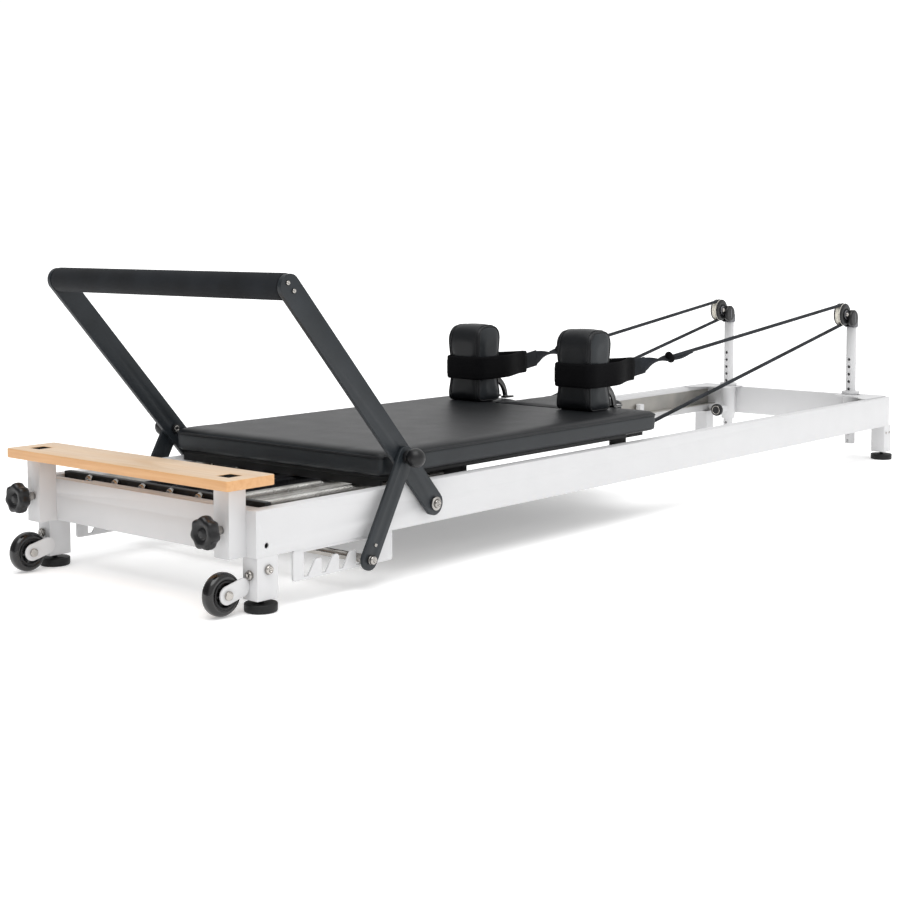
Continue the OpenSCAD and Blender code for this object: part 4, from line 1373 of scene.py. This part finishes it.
@dataclass
class Carriage:
    """The carriage's metalwork, wheels and springs."""

    wire: float = 1.3 * MM
    count: int = 5

    def build(self) -> None:
        """Dress the carriage and wind its springs."""
        soften("carriage_frame", BLACK_COAT, 1.0 * MM)
        soften("carriage_axles", CHROME, 0.5 * MM)
        soften("shoulder_brackets", GLOSS_BLACK, 1.2 * MM)
        for end in ("foot", "head"):
            for side in SIDES:
                soften(f"carriage_wheel_{end}_{side}", NYLON, 1.5 * MM)
        self.springs()

    def springs(self) -> None:
        """Close-wound springs, two of them with a coloured sleeve near the hook."""
        low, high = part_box("tension_springs")
        radius = (high.z - low.z) / 2
        mid_z = (low.z + high.z) / 2
        step = (high.y - low.y - 2 * radius) / (self.count - 1)
        spots = [(low.x, low.y + radius + i * step, mid_z) for i in range(self.count)]
        turns = (high.x - low.x) / (2.5 * self.wire)
        sizes = {"Turns": turns, "Radius": radius - self.wire - 0.2 * MM,
                 "Length": high.x - low.x, "Wire": self.wire}
        # The three far springs take the darkened wire: painted shade under the pad.
        groups = (("bright_springs", spots[:2], SPRING_WIRE), ("dark_springs", spots[2:], SHADED_SPRING_WIRE))
        for name, group, wire in groups:
            coils = coil_tool(wire).run(points_mesh(f"{name}_spots", group), name, sizes)
            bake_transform(coils)
            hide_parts("tension_springs")
        snug = radius - 0.3 * MM
        plug = mm((0, -14), (3.5, -14), (4.5, -9)) + [(snug, -1 * MM), (snug, 5 * MM), (0.0, 5 * MM)]
        ends = [turned(f"spring_end_{i}", plug, Axis.X, spot, CHROME, 32) for i, spot in enumerate(spots)]
        inside, outside = radius - 0.6 * MM, radius + 0.3 * MM
        sleeve = [(inside, 0.0), (outside, 0.0), (outside, 14 * MM), (inside, 14 * MM)]
        for (x, y, z), finish in zip(spots, (RED_TAG, TEAL_TAG)):
            ends.append(turned("spring_sleeve", sleeve, Axis.X, (x + 6 * MM, y, z), finish, 32))
        finish_piece(join(ends, "spring_ends"), "frame", "bare_steel")


# --------------------------------------------------------------------------- studio


@dataclass
class Studio:
    """Floor, lights and camera."""

    lens: float = 63.33
    shift: float = -0.122
    room: float = 0.85
    flag: float = 0.2
    floor_glow: float = 0.3
    power: float = 1.5

    def floor(self) -> None:
        """A pale floor that runs out of sight."""
        mesh = mesh_from("floor", [(-30, -30, 0), (30, -30, 0), (30, 30, 0), (-30, 30, 0)], [(0, 1, 2, 3)])
        shader = FLOOR.make().node_tree.nodes["Principled BSDF"]
        shader.inputs["Emission Color"].default_value = linear("FFFFFF")
        shader.inputs["Emission Strength"].default_value = self.floor_glow
        object_of(mesh, "floor", FLOOR)

    def camera(self) -> None:
        """The camera, set where it sees the reformer from its right foot end."""
        view = bpy.data.cameras.new("camera")
        view.lens = self.lens
        view.sensor_width = 36.0
        view.shift_y = self.shift
        view.clip_end = 100
        item = bpy.data.objects.new("camera", view)
        bpy.context.collection.objects.link(item)
        item.location = (-1.7838 - X_MID, -2.2594, 0.6433)
        item.rotation_euler = Vector((0.7588219, 0.6477028, -0.0683404)).to_track_quat("-Z", "Y").to_euler()
        bpy.context.scene.camera = item

    def sky(self) -> None:
        """A white room with a dark flag beyond the far foot corner, which gives black pieces their form."""
        world = bpy.data.worlds.new("studio")
        bpy.context.scene.world = world
        world.use_nodes = True
        tree = world.node_tree
        tree.nodes.clear()
        way = add(tree, "ShaderNodeTexCoord")
        toward = add(tree, "ShaderNodeVectorMath", {0: way.outputs["Generated"], 1: (-0.76, 0.65, 0.0)},
                     operation="DOT_PRODUCT")
        level = add(tree, "ShaderNodeMapRange", {
            "Value": toward.outputs["Value"], "From Min": 0.25, "From Max": 0.9,
            "To Min": self.room, "To Max": self.flag,
        }, interpolation_type="SMOOTHSTEP")
        white = linear("FFFFFF")
        room = add(tree, "ShaderNodeBackground", {"Color": white, "Strength": level.outputs["Result"]})
        seen = add(tree, "ShaderNodeBackground", {"Color": white, "Strength": 1.05})
        path = add(tree, "ShaderNodeLightPath")
        mix = add(tree, "ShaderNodeMixShader", {0: path.outputs["Is Camera Ray"], 1: room.outputs[0],
                                                2: seen.outputs[0]})
        add(tree, "ShaderNodeOutputWorld", {"Surface": mix.outputs[0]})

    def key(self) -> None:
        """A wide soft sun from high on the foot end's right."""
        lamp = bpy.data.lights.new("key", "SUN")
        lamp.angle = math.radians(50)
        lamp.energy = self.power
        item = bpy.data.objects.new("key", lamp)
        bpy.context.collection.objects.link(item)
        item.rotation_euler = Vector((0.3, 0.22, -1.0)).to_track_quat("-Z", "Y").to_euler()

    def build(self) -> None:
        """Set the stage."""
        self.floor()
        self.sky()
        self.key()
        bpy.context.scene.view_settings.view_transform = "Standard"
        self.camera()


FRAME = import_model()
BODY_OF = {node: body for body, nodes in FRAME["record"]["behaviour"]["bodies"].items() for node in nodes}
SLOT_OF = {entry["node"]: entry["material_slot"] for entry in FRAME["record"]["subparts"]}
X_MID = -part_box("side_rail_right")[0].x


def main() -> None:
    """Build every sub-assembly in order."""
    logging.basicConfig(level=logging.INFO, format="%(name)s: %(message)s")
    order = (Studio, BedFrame, Knobs, TransportWheels, Footbar, Pulleys, Carriage, Upholstery, Straps, Ropes)
    for assembly in order:
        log.info("building %s", assembly.__name__)
        assembly().build()


if __name__ == "__main__":
    main()
